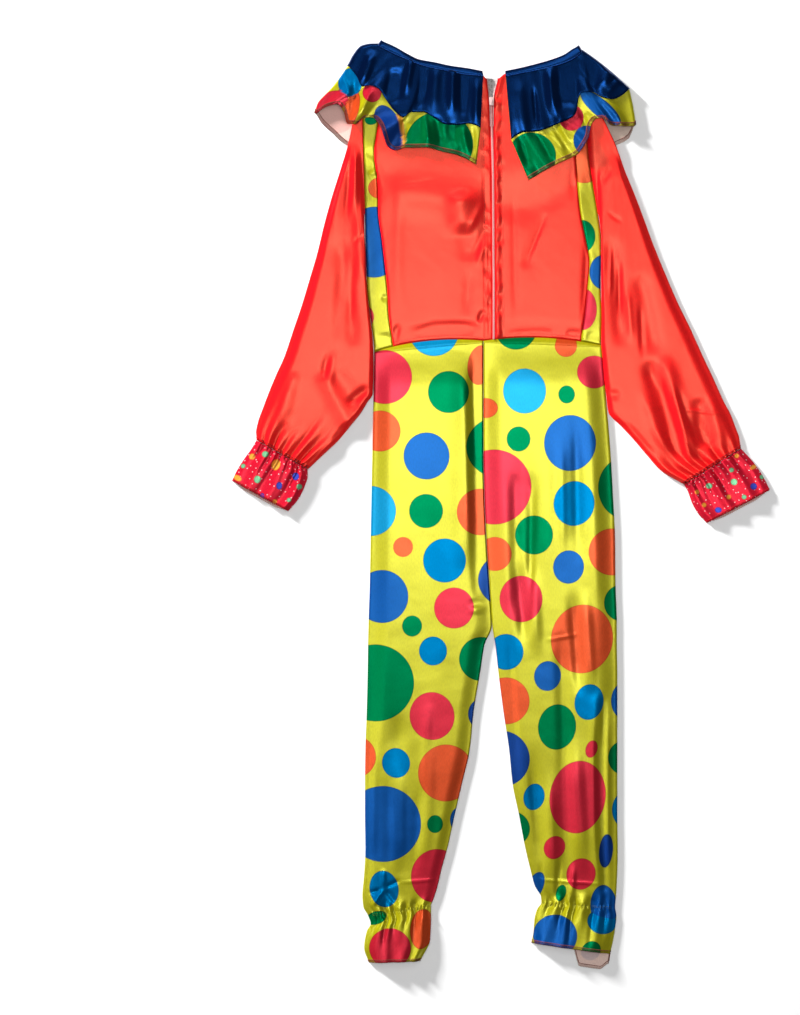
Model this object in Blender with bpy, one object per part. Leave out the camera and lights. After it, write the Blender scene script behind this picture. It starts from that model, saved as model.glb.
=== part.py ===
"""A child's clown jumpsuit laid flat with its back up, as the cloth pieces a maker sews together.

Every piece is one sheet of cloth: a grid whose rows run along the garment and whose columns run
across it, laid out by a function and given its wall. Sleeves, cuffs and legs turn round their outer
edge and come back underneath to their seam. The collar turns round both shoulders.
Lengths are in millimetres, +X across to the right, +Y up to the neck and +Z up from the table.
"""

import math

import bmesh
import bpy
import numpy as np

MM = 0.001

CLOTH = 1.2          # wall of one layer of satin
SEAM = 0.3           # gap between neighbouring pieces and between layers
EDGE_GAP = 0.4       # space left between the two layers where a piece turns or is seamed
SIDE_GAP = 1.0       # space between a sleeve and the body or leg beside it
BINDING_WALL = 1.8   # folded neck casing, two layers pressed together
ZIP_WALL = 1.4       # zip tape with its coil

RUFFLE_STACK = 2 * (CLOTH + SEAM)    # the collar's front half, which the bodice lies on
LIFT_FADE = 45.0                     # length over which the bodice comes down to the table
LIFT_SET_BACK = 10.0                 # the bodice is fully raised this far inside the collar's hem
BODY_STACK = CLOTH + EDGE_GAP + CLOTH + SEAM   # front, air, back and a gap: what the collar lies on
CORNER_SAG = 1.6                     # how far the collar sinks beyond the shoulders

LEG_LOFT = 2.6       # air in the flattened legs, sleeves and bodice
SLEEVE_LOFT = 3.4
BODY_LOFT = 1.2
CUFF_LOFT = 2.2


def table(names, *rows):
    """Return the rows of a table as one array for each named column."""
    return dict(zip(names.split(), np.array(rows, dtype=float).T))


# Body: places of the seams across the back, from the shoulders down to the waist.
BODY = table(
    "y      side_left  strip_left  zip_left  zip_right  strip_right  side_right",
    (184.0, -146.0, -124.0, -10.0, -7.0, 92.0, 115.0),
    (197.0, -147.5, -126.0, -10.0, -7.0, 93.0, 115.5),
    (220.0, -150.5, -129.0, -10.0, -7.0, 96.5, 116.0),
    (253.5, -154.0, -131.0, -10.0, -7.0, 100.0, 114.5),
    (280.0, -155.0, -134.0, -10.2, -7.3, 102.0, 115.0),
    (305.5, -156.0, -137.0, -10.4, -7.5, 97.5, 115.0),
    (340.0, -156.6, -141.5, -10.5, -7.6, 91.0, 111.0),
    (369.5, -157.3, -142.0, -10.7, -7.8, 88.0, 106.0),
    (405.5, -158.2, -146.0, -11.6, -8.2, 85.0, 100.5),
    (443.5, -159.2, -141.5, -12.8, -8.4, 84.0, 97.5),
    (468.0, -159.9, -142.5, -14.0, -8.0, 81.5, 96.0),
    (490.0, -160.2, -144.0, -16.5, -3.5, 78.0, 94.5),
)

# Height of the shoulders and the back neckline, and of the front neckline, along the shoulders.
BACK_TOP = table(
    "x y",
    (-160.2, 479.0), (-144.0, 495.0), (-134.0, 520.0), (-128.0, 525.0), (-108.0, 516.0),
    (-76.0, 506.5), (-39.5, 500.5), (-24.5, 499.0), (-16.5, 491.0), (-3.5, 491.0),
    (4.5, 496.5), (45.0, 506.0), (72.5, 514.5), (78.0, 514.5), (96.0, 488.0),
)
FRONT_TOP = table(
    "x y",
    (-160.2, 479.0), (-144.0, 495.0), (-134.0, 519.0), (-128.0, 522.0), (-95.5, 506.0),
    (-56.5, 496.0), (-10.5, 488.5), (33.5, 497.0), (68.0, 509.0), (78.0, 513.0), (96.0, 488.0),
)
WAIST_LEFT = np.array((-146.0, 177.0))      # waist seam: its ends and the centre-back seam
WAIST_CENTRE = np.array((-20.3, 189.5))
WAIST_RIGHT = np.array((116.0, 184.0))
WAIST_BOW = 6.2                             # how far each half of the seam arches upwards
LOFT_LIMIT = table(   # above this line the collar presses the cloth flat
    "x y",
    (-230.0, 425.0), (-150.0, 415.0), (-130.0, 385.0), (-28.0, 365.0), (31.0, 345.0),
    (60.0, 360.0), (100.0, 395.0), (160.0, 415.0),
)

# Sleeves: a row for each section, from the armhole to the wrist. The inner edge is the underarm
# seam and the outer edge is where the flattened tube turns.
SLEEVE_LEFT = table(
    "inner_x inner_y outer_x outer_y",
    (-157.0, 336.5, -161.0, 475.5),
    (-157.0, 326.0, -168.0, 452.5),
    (-156.5, 307.5, -176.0, 415.5),
    (-155.0, 287.0, -185.0, 386.0),
    (-154.5, 264.0, -194.5, 356.0),
    (-153.0, 241.0, -203.5, 323.5),
    (-151.0, 215.5, -211.5, 290.5),
    (-149.5, 192.5, -220.0, 261.5),
    (-149.0, 171.0, -229.0, 231.5),
    (-149.0, 151.0, -239.0, 202.0),
    (-149.5, 133.0, -249.5, 171.0),
    (-154.0, 118.0, -259.0, 150.0),
    (-161.0, 106.5, -267.5, 129.5),
    (-171.5, 93.5, -273.5, 113.5),
    (-186.5, 75.5, -279.5, 97.0),
    (-206.0, 57.0, -282.0, 84.5),
    (-222.0, 42.0, -281.0, 75.5),
)
SLEEVE_RIGHT = table(
    "inner_x inner_y outer_x outer_y",
    (112.0, 336.5, 104.5, 470.0),
    (114.0, 326.0, 114.0, 452.5),
    (115.5, 307.5, 133.5, 411.0),
    (116.0, 287.0, 142.5, 386.0),
    (116.0, 264.0, 153.0, 360.5),
    (116.5, 238.5, 163.5, 333.0),
    (118.0, 213.5, 173.5, 305.5),
    (119.0, 188.0, 188.5, 268.5),
    (120.0, 165.0, 204.5, 231.5),
    (122.0, 144.5, 218.5, 203.0),
    (123.5, 126.0, 232.5, 172.0),
    (126.5, 107.5, 245.0, 145.5),
    (139.0, 90.5, 256.5, 120.0),
    (153.0, 75.5, 264.5, 105.0),
    (168.0, 58.0, 270.0, 90.5),
    (185.0, 39.5, 274.5, 77.5),
    (210.5, 24.5, 276.0, 66.0),
)
SLEEVE_LAST = len(SLEEVE_LEFT["inner_x"]) - 1
WRIST_GATHER_ROWS = 4      # sections over which the wrist gathers fade into the sleeve

# Wrist frills, from the gathering seam to the hem.
CUFF_LEFT = table(
    "inner_x inner_y outer_x outer_y",
    (-222.5, 41.5, -281.5, 75.0),
    (-222.5, 33.0, -287.5, 65.0),
    (-225.5, 23.5, -296.5, 52.5),
    (-232.5, 8.5, -305.0, 38.5),
    (-245.0, -6.5, -309.5, 28.5),
)
CUFF_RIGHT = table(
    "inner_x inner_y outer_x outer_y",
    (210.9, 24.0, 276.4, 65.5),
    (215.5, 15.5, 287.5, 53.5),
    (219.5, 4.0, 296.5, 42.0),
    (227.5, -10.0, 304.0, 29.5),
    (237.0, -20.0, 309.5, 18.0),
)
CUFF_LAST = len(CUFF_LEFT["inner_x"]) - 1

# Legs: a row for each section, from the waist past the crotch, the ankle elastic and its frill to
# the hem. The inner edge is the centre seam down to the crotch and the inside-leg seam below it.
# under_drop is how far the front layer hangs below the back one.
LEG_LEFT = table(
    "inner_x inner_y outer_x outer_y under_drop",
    (-20.5, 189.5, -146.0, 177.0, 0.0),
    (-20.5, 153.5, -146.5, 146.5, 0.0),
    (-20.5, 119.0, -147.0, 114.5, 0.0),
    (-20.5, 67.5, -148.0, 65.0, 0.0),
    (-19.5, 14.5, -149.0, 14.5, 0.0),
    (-17.0, -39.5, -150.0, -39.5, 0.0),
    (-13.5, -91.5, -151.0, -91.5, 0.0),
    (-10.5, -136.5, -152.5, -137.5, 0.0),
    (-19.0, -160.5, -153.0, -160.5, 0.0),
    (-24.5, -195.0, -153.5, -195.0, 0.0),
    (-31.5, -237.5, -154.5, -237.5, 0.0),
    (-36.0, -281.0, -156.0, -281.0, 0.0),
    (-45.0, -320.5, -156.5, -320.5, 0.0),
    (-53.5, -357.0, -156.5, -357.0, 0.0),
    (-61.0, -391.5, -156.0, -395.0, 0.0),
    (-68.5, -419.0, -157.5, -425.0, 0.0),
    (-73.5, -440.0, -159.5, -448.0, 0.0),
    (-77.5, -452.5, -158.5, -461.5, 0.0),
    (-80.5, -460.5, -153.0, -472.0, 0.0),
    (-80.5, -467.5, -150.0, -481.5, 0.0),
    (-80.5, -476.5, -154.5, -490.5, 0.0),
    (-81.5, -499.5, -157.5, -509.0, 0.0),
    (-93.0, -524.0, -152.0, -526.0, 0.0),
)
LEG_RIGHT = table(
    "inner_x inner_y outer_x outer_y under_drop",
    (-20.0, 189.5, 116.0, 184.0, 0.0),
    (-20.0, 153.5, 118.5, 153.5, 0.0),
    (-20.0, 119.0, 121.5, 119.0, 0.0),
    (-20.0, 67.5, 126.0, 64.0, 0.0),
    (-19.0, 14.5, 129.0, 12.0, 0.0),
    (-16.5, -39.5, 131.5, -39.5, 0.0),
    (-13.0, -91.5, 132.0, -91.5, 0.0),
    (-10.0, -136.5, 133.5, -134.0, 0.0),
    (-6.5, -160.5, 133.5, -160.5, 0.0),
    (-2.5, -195.0, 134.0, -195.0, 0.0),
    (3.0, -237.5, 134.0, -237.5, 0.0),
    (9.5, -281.0, 134.0, -281.0, 0.0),
    (13.5, -320.5, 134.0, -320.5, 0.0),
    (21.0, -357.0, 134.0, -357.0, 0.0),
    (27.5, -391.5, 134.5, -395.0, 0.0),
    (34.0, -419.0, 134.0, -421.5, 0.0),
    (39.0, -437.5, 133.0, -442.0, 0.0),
    (46.0, -450.0, 132.0, -455.0, 0.0),
    (46.5, -457.0, 131.5, -463.0, 0.0),
    (41.5, -465.0, 133.0, -473.0, 0.0),
    (38.5, -476.5, 132.0, -482.5, 0.0),
    (37.5, -490.5, 129.5, -499.5, 6.0),
    (35.0, -503.0, 125.5, -516.0, 19.6),
)
LEG_LAST = len(LEG_LEFT["inner_x"]) - 1
ELASTIC_ROW = 18
ELASTIC_REACH = 3.0        # sections over which the elastic's gathers fade into the leg

# Collar. share runs from the zip edge (0) round to the shoulder fold (1) on the back, and from the
# left fold (0) to the right fold (1) on the front.
BINDING_LEFT = table(
    "share edge_x edge_y foot_x foot_y",
    (0.00, -21.5, 499.5, -20.5, 494.0),
    (0.15, -39.5, 503.0, -39.5, 495.5),
    (0.32, -57.5, 505.5, -58.0, 499.0),
    (0.48, -76.0, 509.5, -76.0, 502.5),
    (0.64, -94.5, 513.0, -94.0, 507.0),
    (0.77, -108.0, 519.5, -108.0, 513.0),
    (0.88, -122.0, 527.5, -122.0, 519.0),
    (1.00, -135.5, 533.5, -138.5, 527.5),
)
BINDING_RIGHT = table(
    "share edge_x edge_y foot_x foot_y",
    (0.00, 4.5, 499.5, 5.0, 493.5),
    (0.24, 25.5, 504.0, 25.5, 497.5),
    (0.45, 45.0, 509.0, 45.0, 501.5),
    (0.60, 58.5, 513.0, 59.0, 505.0),
    (0.76, 72.5, 518.5, 73.0, 509.5),
    (0.88, 81.5, 524.5, 82.5, 514.0),
    (1.00, 87.0, 527.5, 90.5, 520.0),
)
BINDING_FRONT = table(
    "share edge_x edge_y foot_x foot_y",
    (0.00, -135.5, 533.5, -138.5, 527.5),
    (0.15, -122.0, 523.0, -122.0, 515.5),
    (0.30, -95.5, 508.5, -95.5, 501.0),
    (0.50, -56.5, 498.5, -56.5, 491.5),
    (0.62, -10.5, 491.5, -10.5, 484.5),
    (0.75, 33.5, 499.5, 33.5, 492.5),
    (0.88, 68.0, 512.0, 68.0, 504.5),
    (1.00, 87.0, 527.5, 90.5, 520.0),
)
BLUE_LEFT = table(      # hem of the blue ruffle
    "share x y",
    (0.00, -23.5, 434.0), (0.10, -37.0, 438.5), (0.20, -52.0, 437.0), (0.27, -63.0, 437.5),
    (0.35, -77.0, 445.0), (0.42, -89.5, 452.0), (0.50, -103.5, 451.5), (0.56, -112.5, 445.5),
    (0.62, -123.0, 453.5), (0.70, -133.0, 467.5), (0.76, -141.0, 478.5), (0.82, -150.5, 482.0),
    (0.88, -158.5, 480.0), (0.94, -164.5, 491.5), (1.00, -171.0, 500.5),
)
BLUE_RIGHT = table(
    "share x y",
    (0.00, 11.5, 420.5), (0.08, 18.0, 425.0), (0.16, 26.5, 428.5), (0.28, 41.5, 429.5),
    (0.38, 54.0, 433.5), (0.46, 64.5, 438.0), (0.54, 74.0, 442.0), (0.60, 83.0, 447.0),
    (0.65, 87.0, 455.0), (0.69, 88.0, 465.0), (0.73, 92.5, 474.0), (0.79, 103.5, 474.5),
    (0.85, 115.5, 468.0), (0.91, 127.0, 465.0), (0.96, 135.5, 468.0), (1.00, 142.5, 473.5),
)
BLUE_FRONT = table(
    "share x y",
    (0.00, -171.0, 500.5), (0.15, -145.0, 460.5), (0.30, -104.5, 434.0), (0.50, -58.5, 422.5),
    (0.62, -10.5, 418.0), (0.75, 45.0, 425.0), (0.88, 102.5, 448.0), (1.00, 142.5, 473.5),
)
DOTTED_LEFT = table(    # hem of the dotted ruffle
    "share x y",
    (0.00, -28.5, 392.0), (0.10, -48.5, 402.0), (0.20, -67.0, 406.5), (0.30, -87.0, 411.0),
    (0.40, -109.0, 411.0), (0.46, -122.0, 408.0), (0.50, -130.0, 412.5), (0.55, -135.0, 425.0),
    (0.60, -139.5, 437.5), (0.65, -148.5, 446.0), (0.70, -158.5, 445.5), (0.75, -168.0, 437.5),
    (0.79, -176.5, 438.0), (0.83, -181.0, 452.5), (0.88, -188.5, 461.0), (0.94, -201.0, 458.5),
    (1.00, -212.5, 450.5),
)
DOTTED_RIGHT = table(
    "share x y",
    (0.00, 31.5, 373.5), (0.12, 47.0, 383.0), (0.25, 64.5, 392.5), (0.36, 77.0, 398.0),
    (0.44, 87.5, 403.5), (0.50, 95.5, 414.0), (0.55, 100.5, 424.0), (0.60, 103.0, 436.5),
    (0.66, 110.5, 445.0), (0.72, 118.5, 445.0), (0.80, 127.5, 437.0), (0.88, 138.5, 436.0),
    (0.95, 147.0, 436.0), (1.00, 153.0, 436.5),
)
DOTTED_FRONT = table(
    "share x y",
    (0.00, -212.5, 450.5), (0.06, -205.5, 439.5), (0.12, -195.0, 430.0), (0.20, -182.5, 418.5),
    (0.30, -153.0, 405.5), (0.45, -81.5, 386.0), (0.60, -10.5, 379.0), (0.75, 56.5, 387.0),
    (0.88, 114.0, 405.5), (0.94, 133.5, 415.5), (0.97, 147.0, 422.5), (1.00, 153.0, 436.5),
)
FOLD_BOW = 5.0          # how far the shoulder fold bellies outwards between neck and hem
FOLD_BOW_POWER = 8      # how close to the fold the belly stays

# Flutes of the back half of the collar: where each crest lies, how wide it is as a share of the
# half collar, and how high it stands at the hem.
FLUTES_LEFT = table(
    "share width height",
    (0.03, 0.030, 1.6), (0.15, 0.040, 2.6), (0.31, 0.050, 4.4), (0.43, 0.030, 2.4),
    (0.56, 0.040, 7.0), (0.77, 0.040, 6.4), (0.91, 0.025, 2.4),
)
FLUTES_RIGHT = table(
    "share width height",
    (0.03, 0.040, 2.6), (0.17, 0.040, 3.2), (0.33, 0.045, 4.4), (0.49, 0.045, 6.4),
    (0.60, 0.030, 3.0), (0.76, 0.040, 5.4), (0.88, 0.030, 4.0),
)
NECK_SHARE = 0.12       # part of a flute's height that already stands at the neck seam
BLUE_FLUTE_SHARE = 0.25    # how much higher than the dotted ruffle the blue one stands in a flute

# Folds pressed into the back of the garment: a line, its half width and its height above the loft.
FOLDS = table(
    "x0 y0 x1 y1 width height",
    (-168.0, 410.0, -161.0, 262.0, 6.0, 1.6),
    (-185.0, 300.0, -170.0, 190.0, 9.0, -1.6),
    (-190.0, 152.0, -156.0, 112.0, 9.0, -2.6),
    (-205.0, 150.0, -175.0, 92.0, 9.0, 1.8),
    (-238.0, 150.0, -250.0, 92.0, 7.0, 1.4),
    (127.0, 300.0, 138.0, 190.0, 8.0, -1.6),
    (160.0, 260.0, 176.0, 180.0, 9.0, -1.6),
    (170.0, 160.0, 205.0, 55.0, 8.0, -2.8),
    (188.0, 165.0, 222.0, 62.0, 8.0, 2.2),
    (226.0, 120.0, 240.0, 72.0, 8.0, -1.8),
    (-31.0, 182.0, -27.0, -100.0, 8.0, -1.8),
    (-48.0, 150.0, -46.0, -60.0, 10.0, 0.9),
    (-120.0, -250.0, -112.0, -420.0, 9.0, -1.4),
    (16.0, 30.0, 18.0, -120.0, 7.0, -1.2),
    (34.0, 30.0, 33.0, -125.0, 7.0, -1.0),
    (70.0, -155.0, 76.0, -430.0, 8.0, -1.5),
    (108.0, -225.0, 111.0, -440.0, 7.0, 1.3),
    (118.0, -225.0, 119.0, -440.0, 5.0, -2.2),
    (-41.0, 350.0, -40.0, 285.0, 10.0, -0.8),
    (-82.0, 205.0, -28.0, 203.0, 7.0, -0.8),
    (50.0, 334.0, 27.0, 276.0, 7.0, -0.7),
)

# Waves across the back layer: how many, and how far each stands above or below the loft.
WRIST_WAVES = 4.0
WRIST_WAVE_HEIGHT = 1.3
CUFF_WAVES = 4.5
CUFF_WAVE_HEIGHT = 1.8
ANKLE_WAVES = 5.0
ANKLE_GATHER_HEIGHT = 0.9
FRILL_WAVE_HEIGHT = 1.8

SLIDER_AT = (-11.0, 464.5)
SLIDER_SIZE = (5.6, 9.5, 2.6)
SLIDER_ROUND = 0.9

BODY_ROWS = 10
STRIP_COLUMNS = 3
PANEL_COLUMNS = 8
FRONT_COLUMNS = 10
TURN_ANGLE = 45.0       # step of the collar's turns round the shoulders


def smooth_step(value):
    """Ease from 0 to 1 as the value goes from 0 to 1."""
    clamped = min(max(value, 0.0), 1.0)
    return clamped * clamped * (3.0 - 2.0 * clamped)


def blend(start, end, share):
    """Return the point a share of the way from start to end."""
    return start + (end - start) * share


def read(named, column, at, key="share"):
    """Read a table's column at a value of its key column."""
    return float(np.interp(at, named[key], named[column]))


def seam_x(column, y):
    """Return where one of the body's seams lies at a height on the back."""
    return read(BODY, column, y, key="y")


def waist_y(x):
    """Return the height of the waist seam, two shallow arches that meet at the centre back."""
    start, end = (WAIST_LEFT, WAIST_CENTRE) if x < WAIST_CENTRE[0] else (WAIST_CENTRE, WAIST_RIGHT)
    share = (x - start[0]) / (end[0] - start[0])
    return blend(start[1], end[1], share) + 4.0 * WAIST_BOW * max(share * (1.0 - share), 0.0)


def lift(x, y):
    """Return how far the collar's front half raises the cloth above the table."""
    inside = y - read(DOTTED_FRONT, "y", x, key="x") + LIFT_FADE
    return RUFFLE_STACK * smooth_step(inside / (LIFT_FADE + LIFT_SET_BACK))


def fold_height(x, y):
    """Return the height that the pressed folds add at a point."""
    point = np.array((x, y))
    total = 0.0
    for x0, y0, x1, y1, width, height in zip(*FOLDS.values()):
        start = np.array((x0, y0))
        along = np.array((x1, y1)) - start
        share = float(np.dot(point - start, along) / np.dot(along, along))
        reach = smooth_step(4.0 * min(share, 1.0 - share) + 0.5)
        nearest = start + along * min(max(share, 0.0), 1.0)
        distance = float(np.linalg.norm(point - nearest))
        total += height * reach * math.exp(-(distance / width) ** 2)
    return total


def air(x, y, loft, edge):
    """Return the space between the two layers, closing to the edge gap at edges and under the collar."""
    pressed = smooth_step((read(LOFT_LIMIT, "y", x, key="x") - y) / 30.0)
    return EDGE_GAP + max(loft + fold_height(x, y), 0.0) * edge * pressed


def edge_fade(across, reach=0.14):
    """Return 0 at both edges of a piece and 1 away from them."""
    return smooth_step(across / reach) * smooth_step((1.0 - across) / reach)


def tube_columns(top, under):
    """Return the columns of a flattened tube: back layer, turn at the outer edge, front layer."""
    return (
        [("top", i / top) for i in range(top + 1)]
        + [("turn", 0.0)]
        + [("under", 1.0 - i / under) for i in range(under + 1)]
    )


def tube_point(column, face, inner, outer, floor, gap):
    """Place a point of a flattened tube's section.

    inner and outer are the section's ends on the table, floor its height there, and gap the space
    between the layers. The turn is a half round of the edge gap's radius.
    """
    zone, share = column
    outwards = (outer - inner) / np.linalg.norm(outer - inner)
    radius = EDGE_GAP / 2 + (CLOTH if face else 0.0)
    centre = outer - outwards * (EDGE_GAP / 2 + CLOTH)
    if zone == "turn":
        plan = centre + outwards * radius
        return (*plan, floor + CLOTH + EDGE_GAP / 2)
    plan = blend(inner, centre, share)
    if zone == "top":
        return (*plan, floor + CLOTH + gap + (CLOTH if face else 0.0))
    return (*plan, floor + (0.0 if face else CLOTH))


def section_ends(named, row):
    """Return the inner and outer ends of a section as points on the table."""
    inner = np.array((named["inner_x"][row], named["inner_y"][row]))
    outer = np.array((named["outer_x"][row], named["outer_y"][row]))
    return inner, outer


def leg_point(named, column, row, face):
    """Place a point of a leg, which meets the bodice along the waist seam."""
    inner, outer = section_ends(named, row)
    zone, share = column
    if zone == "under":
        drop = named["under_drop"][row] * smooth_step(share / 0.8)
        inner, outer = inner - (0.0, drop), outer - (0.0, drop)
    x, y = blend(inner, outer, share)
    depth = math.exp(-((row - ELASTIC_ROW) / ELASTIC_REACH) ** 2)
    below = max(row - ELASTIC_ROW, 0) / (LEG_LAST - ELASTIC_ROW)
    wave = math.sin(2 * math.pi * ANKLE_WAVES * share + 0.6)
    height = ANKLE_GATHER_HEIGHT * depth + FRILL_WAVE_HEIGHT * below
    loft = LEG_LOFT * (1.0 - 0.5 * depth) + wave * height
    gap = air(x, y, loft, edge_fade(share) * smooth_step(row / 1.5))
    x, y, z = tube_point(column, face, inner, outer, 0.0, gap)
    if row == 0:
        y = waist_y(x) - SEAM
    return x, y, z


def sleeve_point(named, side, column, row, face):
    """Place a point of a sleeve, which meets the side strip along the armhole seam."""
    inner, outer = section_ends(named, row)
    away = -1.0 if side == "left" else 1.0
    zone, share = column
    x, y = blend(inner, outer, share)
    near_wrist = smooth_step(1.0 - (SLEEVE_LAST - row) / WRIST_GATHER_ROWS)
    wave = math.sin(2 * math.pi * WRIST_WAVES * share)
    loft = SLEEVE_LOFT * (1.0 - 0.35 * near_wrist) + wave * WRIST_WAVE_HEIGHT * near_wrist
    gap = air(x, y, loft, edge_fade(share) * smooth_step(row / 2.0))
    if row > 0:
        inner = inner + (away * SIDE_GAP * (1.0 - near_wrist), 0.0)
    x, y, z = tube_point(column, face, inner, outer, 0.0, gap)
    if row == 0:
        x = seam_x("side_" + side, y) + away * 2 * SEAM
    return x, y, z + lift(x, y)


def cuff_point(named, column, row, face):
    """Place a point of a wrist frill."""
    inner, outer = section_ends(named, row)
    zone, share = column
    below = row / CUFF_LAST
    wave = math.sin(2 * math.pi * CUFF_WAVES * share + 0.9)
    loft = CUFF_LOFT + wave * CUFF_WAVE_HEIGHT * (0.4 + 0.6 * below)
    gap = EDGE_GAP + loft * edge_fade(share, 0.10)
    return tube_point(column, face, inner, outer, 0.0, gap)


def body_gap(x, y):
    """Return the space between the front and the back panels."""
    left, right = seam_x("side_left", y), seam_x("side_right", y)
    edge = edge_fade((x - left) / (right - left), 0.10)
    edge *= smooth_step((y - waist_y(x)) / 25.0)
    return air(x, y, BODY_LOFT, edge)


def panel_point(left_seam, right_seam, top, inset, column, row, face):
    """Place a point of a back or front panel between two seams, from the shoulders to the waist.

    inset is the gap left at each seam. The y of a point on a seam is the same for both panels.
    """
    down = row / BODY_ROWS
    high_left, high_right = (
        read(top, "y", seam_x(seam, BODY["y"][-1]), key="x") for seam in (left_seam, right_seam)
    )
    high_x = blend(
        seam_x(left_seam, high_left), seam_x(right_seam, high_right), column
    )
    high = read(top, "y", high_x, key="x")
    low_x = blend(seam_x(left_seam, 184.0), seam_x(right_seam, 184.0), column)
    y = blend(high, waist_y(low_x) + SEAM, down)
    left, right = seam_x(left_seam, y) + inset[0], seam_x(right_seam, y) - inset[1]
    x = blend(left, right, column)
    base = lift(x, y) + (CLOTH + body_gap(x, y) if top is BACK_TOP else 0.0)
    return x, y, base + (CLOTH if face else 0.0)


def zip_point(column, row, face):
    """Place a point of the zip, which fills the slot between the back panels."""
    x, y, z = panel_point("zip_left", "zip_right", BACK_TOP, (SEAM, SEAM), column, row, 0)
    return x, y, z + (ZIP_WALL if face else 0.0)


def collar_columns(back, front):
    """Return the collar's columns from the left zip edge round the front to the right zip edge."""
    turn = np.arange(90.0 - TURN_ANGLE, -90.0, -TURN_ANGLE)
    return (
        [("back_left", i / back) for i in range(back + 1)]
        + [("turn_left", angle) for angle in turn]
        + [("front", i / front) for i in range(front + 1)]
        + [("turn_right", -angle) for angle in turn]
        + [("back_right", 1.0 - i / back) for i in range(back + 1)]
    )


def curve_point(named, share, x="x", y="y"):
    """Return a point of a curve at a share of its length."""
    return np.array((read(named, x, share), read(named, y, share)))


COLLAR_CURVES = {
    "left": (BINDING_LEFT, BLUE_LEFT, DOTTED_LEFT, FLUTES_LEFT),
    "right": (BINDING_RIGHT, BLUE_RIGHT, DOTTED_RIGHT, FLUTES_RIGHT),
    "front": (BINDING_FRONT, BLUE_FRONT, DOTTED_FRONT, None),
}
FOLD_OUTWARDS = {"left": np.array((-0.74, 0.67)), "right": np.array((0.66, 0.75))}


def ruffle_plan(part, share, down):
    """Return a ruffle's point on the table. down is 0 at the neck, 1 at the blue hem, 2 at the dotted."""
    binding, blue, dotted, _ = COLLAR_CURVES[part]
    neck = curve_point(binding, share, "foot_x", "foot_y") - (0.0, 2 * SEAM)
    middle = curve_point(blue, share)
    if down <= 1.0:
        plan = blend(neck, middle, down)
    else:
        plan = blend(middle, curve_point(dotted, share), down - 1.0)
    belly = FOLD_BOW * math.sin(math.pi * down / 2.0)
    if part == "front":
        near = {"left": (1.0 - share) ** FOLD_BOW_POWER, "right": share ** FOLD_BOW_POWER}
    else:
        near = {part: share ** FOLD_BOW_POWER}
    for side, weight in near.items():
        plan = plan + FOLD_OUTWARDS[side] * belly * weight
    return plan


def flute_height(side, share, down):
    """Return how far the collar's flutes stand up at a point."""
    flutes = COLLAR_CURVES[side][3]
    rise = NECK_SHARE + (1.0 - NECK_SHARE) * (down / 2.0) ** 1.2
    crests = flutes["height"] * np.exp(-((share - flutes["share"]) / flutes["width"]) ** 2)
    return float(crests.sum()) * rise * smooth_step((1.0 - share) / 0.06)


def ruffle_floor(down):
    """Return the height of the dotted ruffle's inner face on the front half."""
    return CLOTH if down > 1.0 else 2 * CLOTH + SEAM


def ruffle_ceiling(x, y):
    """Return the height that the collar's back half lies at."""
    beyond = max(seam_x("side_left", y) - 12.0 - x, x - seam_x("side_right", y) - 22.0)
    return lift(x, y) + BODY_STACK - CORNER_SAG * smooth_step(beyond / 30.0)


def ruffle_point(inner_layer, column, row, face, rows_to_blue):
    """Place a point of a ruffle. The blue one's points are the dotted one's, moved out."""
    zone, value = column
    down = row / rows_to_blue if row <= rows_to_blue else 1.0 + (row - rows_to_blue) / rows_to_blue
    out = CLOTH if face else 0.0
    if not inner_layer:
        out += CLOTH + SEAM
    part, _, side = zone.partition("_")
    if part == "front":
        plan = ruffle_plan("front", value, down)
        return (*plan, ruffle_floor(down) - out)
    if part == "back":
        plan = ruffle_plan(side, value, down)
        flute = flute_height(side, value, down)
        raised = flute * (1.0 if inner_layer else 1.0 + BLUE_FLUTE_SHARE)
        return (*plan, ruffle_ceiling(*plan) + raised + out)
    plan = ruffle_plan(side, 1.0, down)
    return turned(plan, side, value, ruffle_floor(down), ruffle_ceiling(*plan), out)


def turned(plan, side, angle, low, high, out):
    """Place a point on the half round that joins a collar piece's two layers at the shoulder."""
    radius = (high - low) / 2 + out
    across = radius * math.cos(math.radians(angle))
    x, y = plan + FOLD_OUTWARDS[side] * across
    return x, y, (high + low) / 2 + radius * math.sin(math.radians(angle))


def binding_point(column, row, face, last_row):
    """Place a point of the neck casing, a flat band along the neck edge."""
    zone, value = column
    part, _, side = zone.partition("_")
    across = row / last_row
    out = BINDING_WALL * (0.6 + 1.6 * across * (1.0 - across)) if face else 0.0
    low, high = RUFFLE_STACK - SEAM, RUFFLE_STACK + BODY_STACK
    named = COLLAR_CURVES["front" if part == "front" else side][0]
    share = 1.0 if part == "turn" else value
    edge = curve_point(named, share, "edge_x", "edge_y")
    foot = curve_point(named, share, "foot_x", "foot_y")
    plan = blend(edge, foot, across)
    if part == "front":
        return (*plan, low - out)
    if part == "back":
        return (*plan, high + out)
    return turned(plan, side, value, low, high, out)


def make_material(name, colour, roughness, metallic=0.0):
    """Return a plain Principled material."""
    material = bpy.data.materials.new(name)
    material.use_nodes = True
    shader = material.node_tree.nodes["Principled BSDF"]
    shader.inputs["Base Color"].default_value = (*colour, 1.0)
    shader.inputs["Roughness"].default_value = roughness
    shader.inputs["Metallic"].default_value = metallic
    return material


def add_object(name, bm, material):
    """Link a finished mesh to the scene as a named object."""
    mesh = bpy.data.meshes.new(name)
    bm.to_mesh(mesh)
    bm.free()
    mesh.materials.append(material)
    mesh.shade_smooth()
    mesh.set_sharp_from_angle(angle=math.radians(40.0))
    piece = bpy.data.objects.new(name, mesh)
    bpy.context.scene.collection.objects.link(piece)
    return piece


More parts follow.
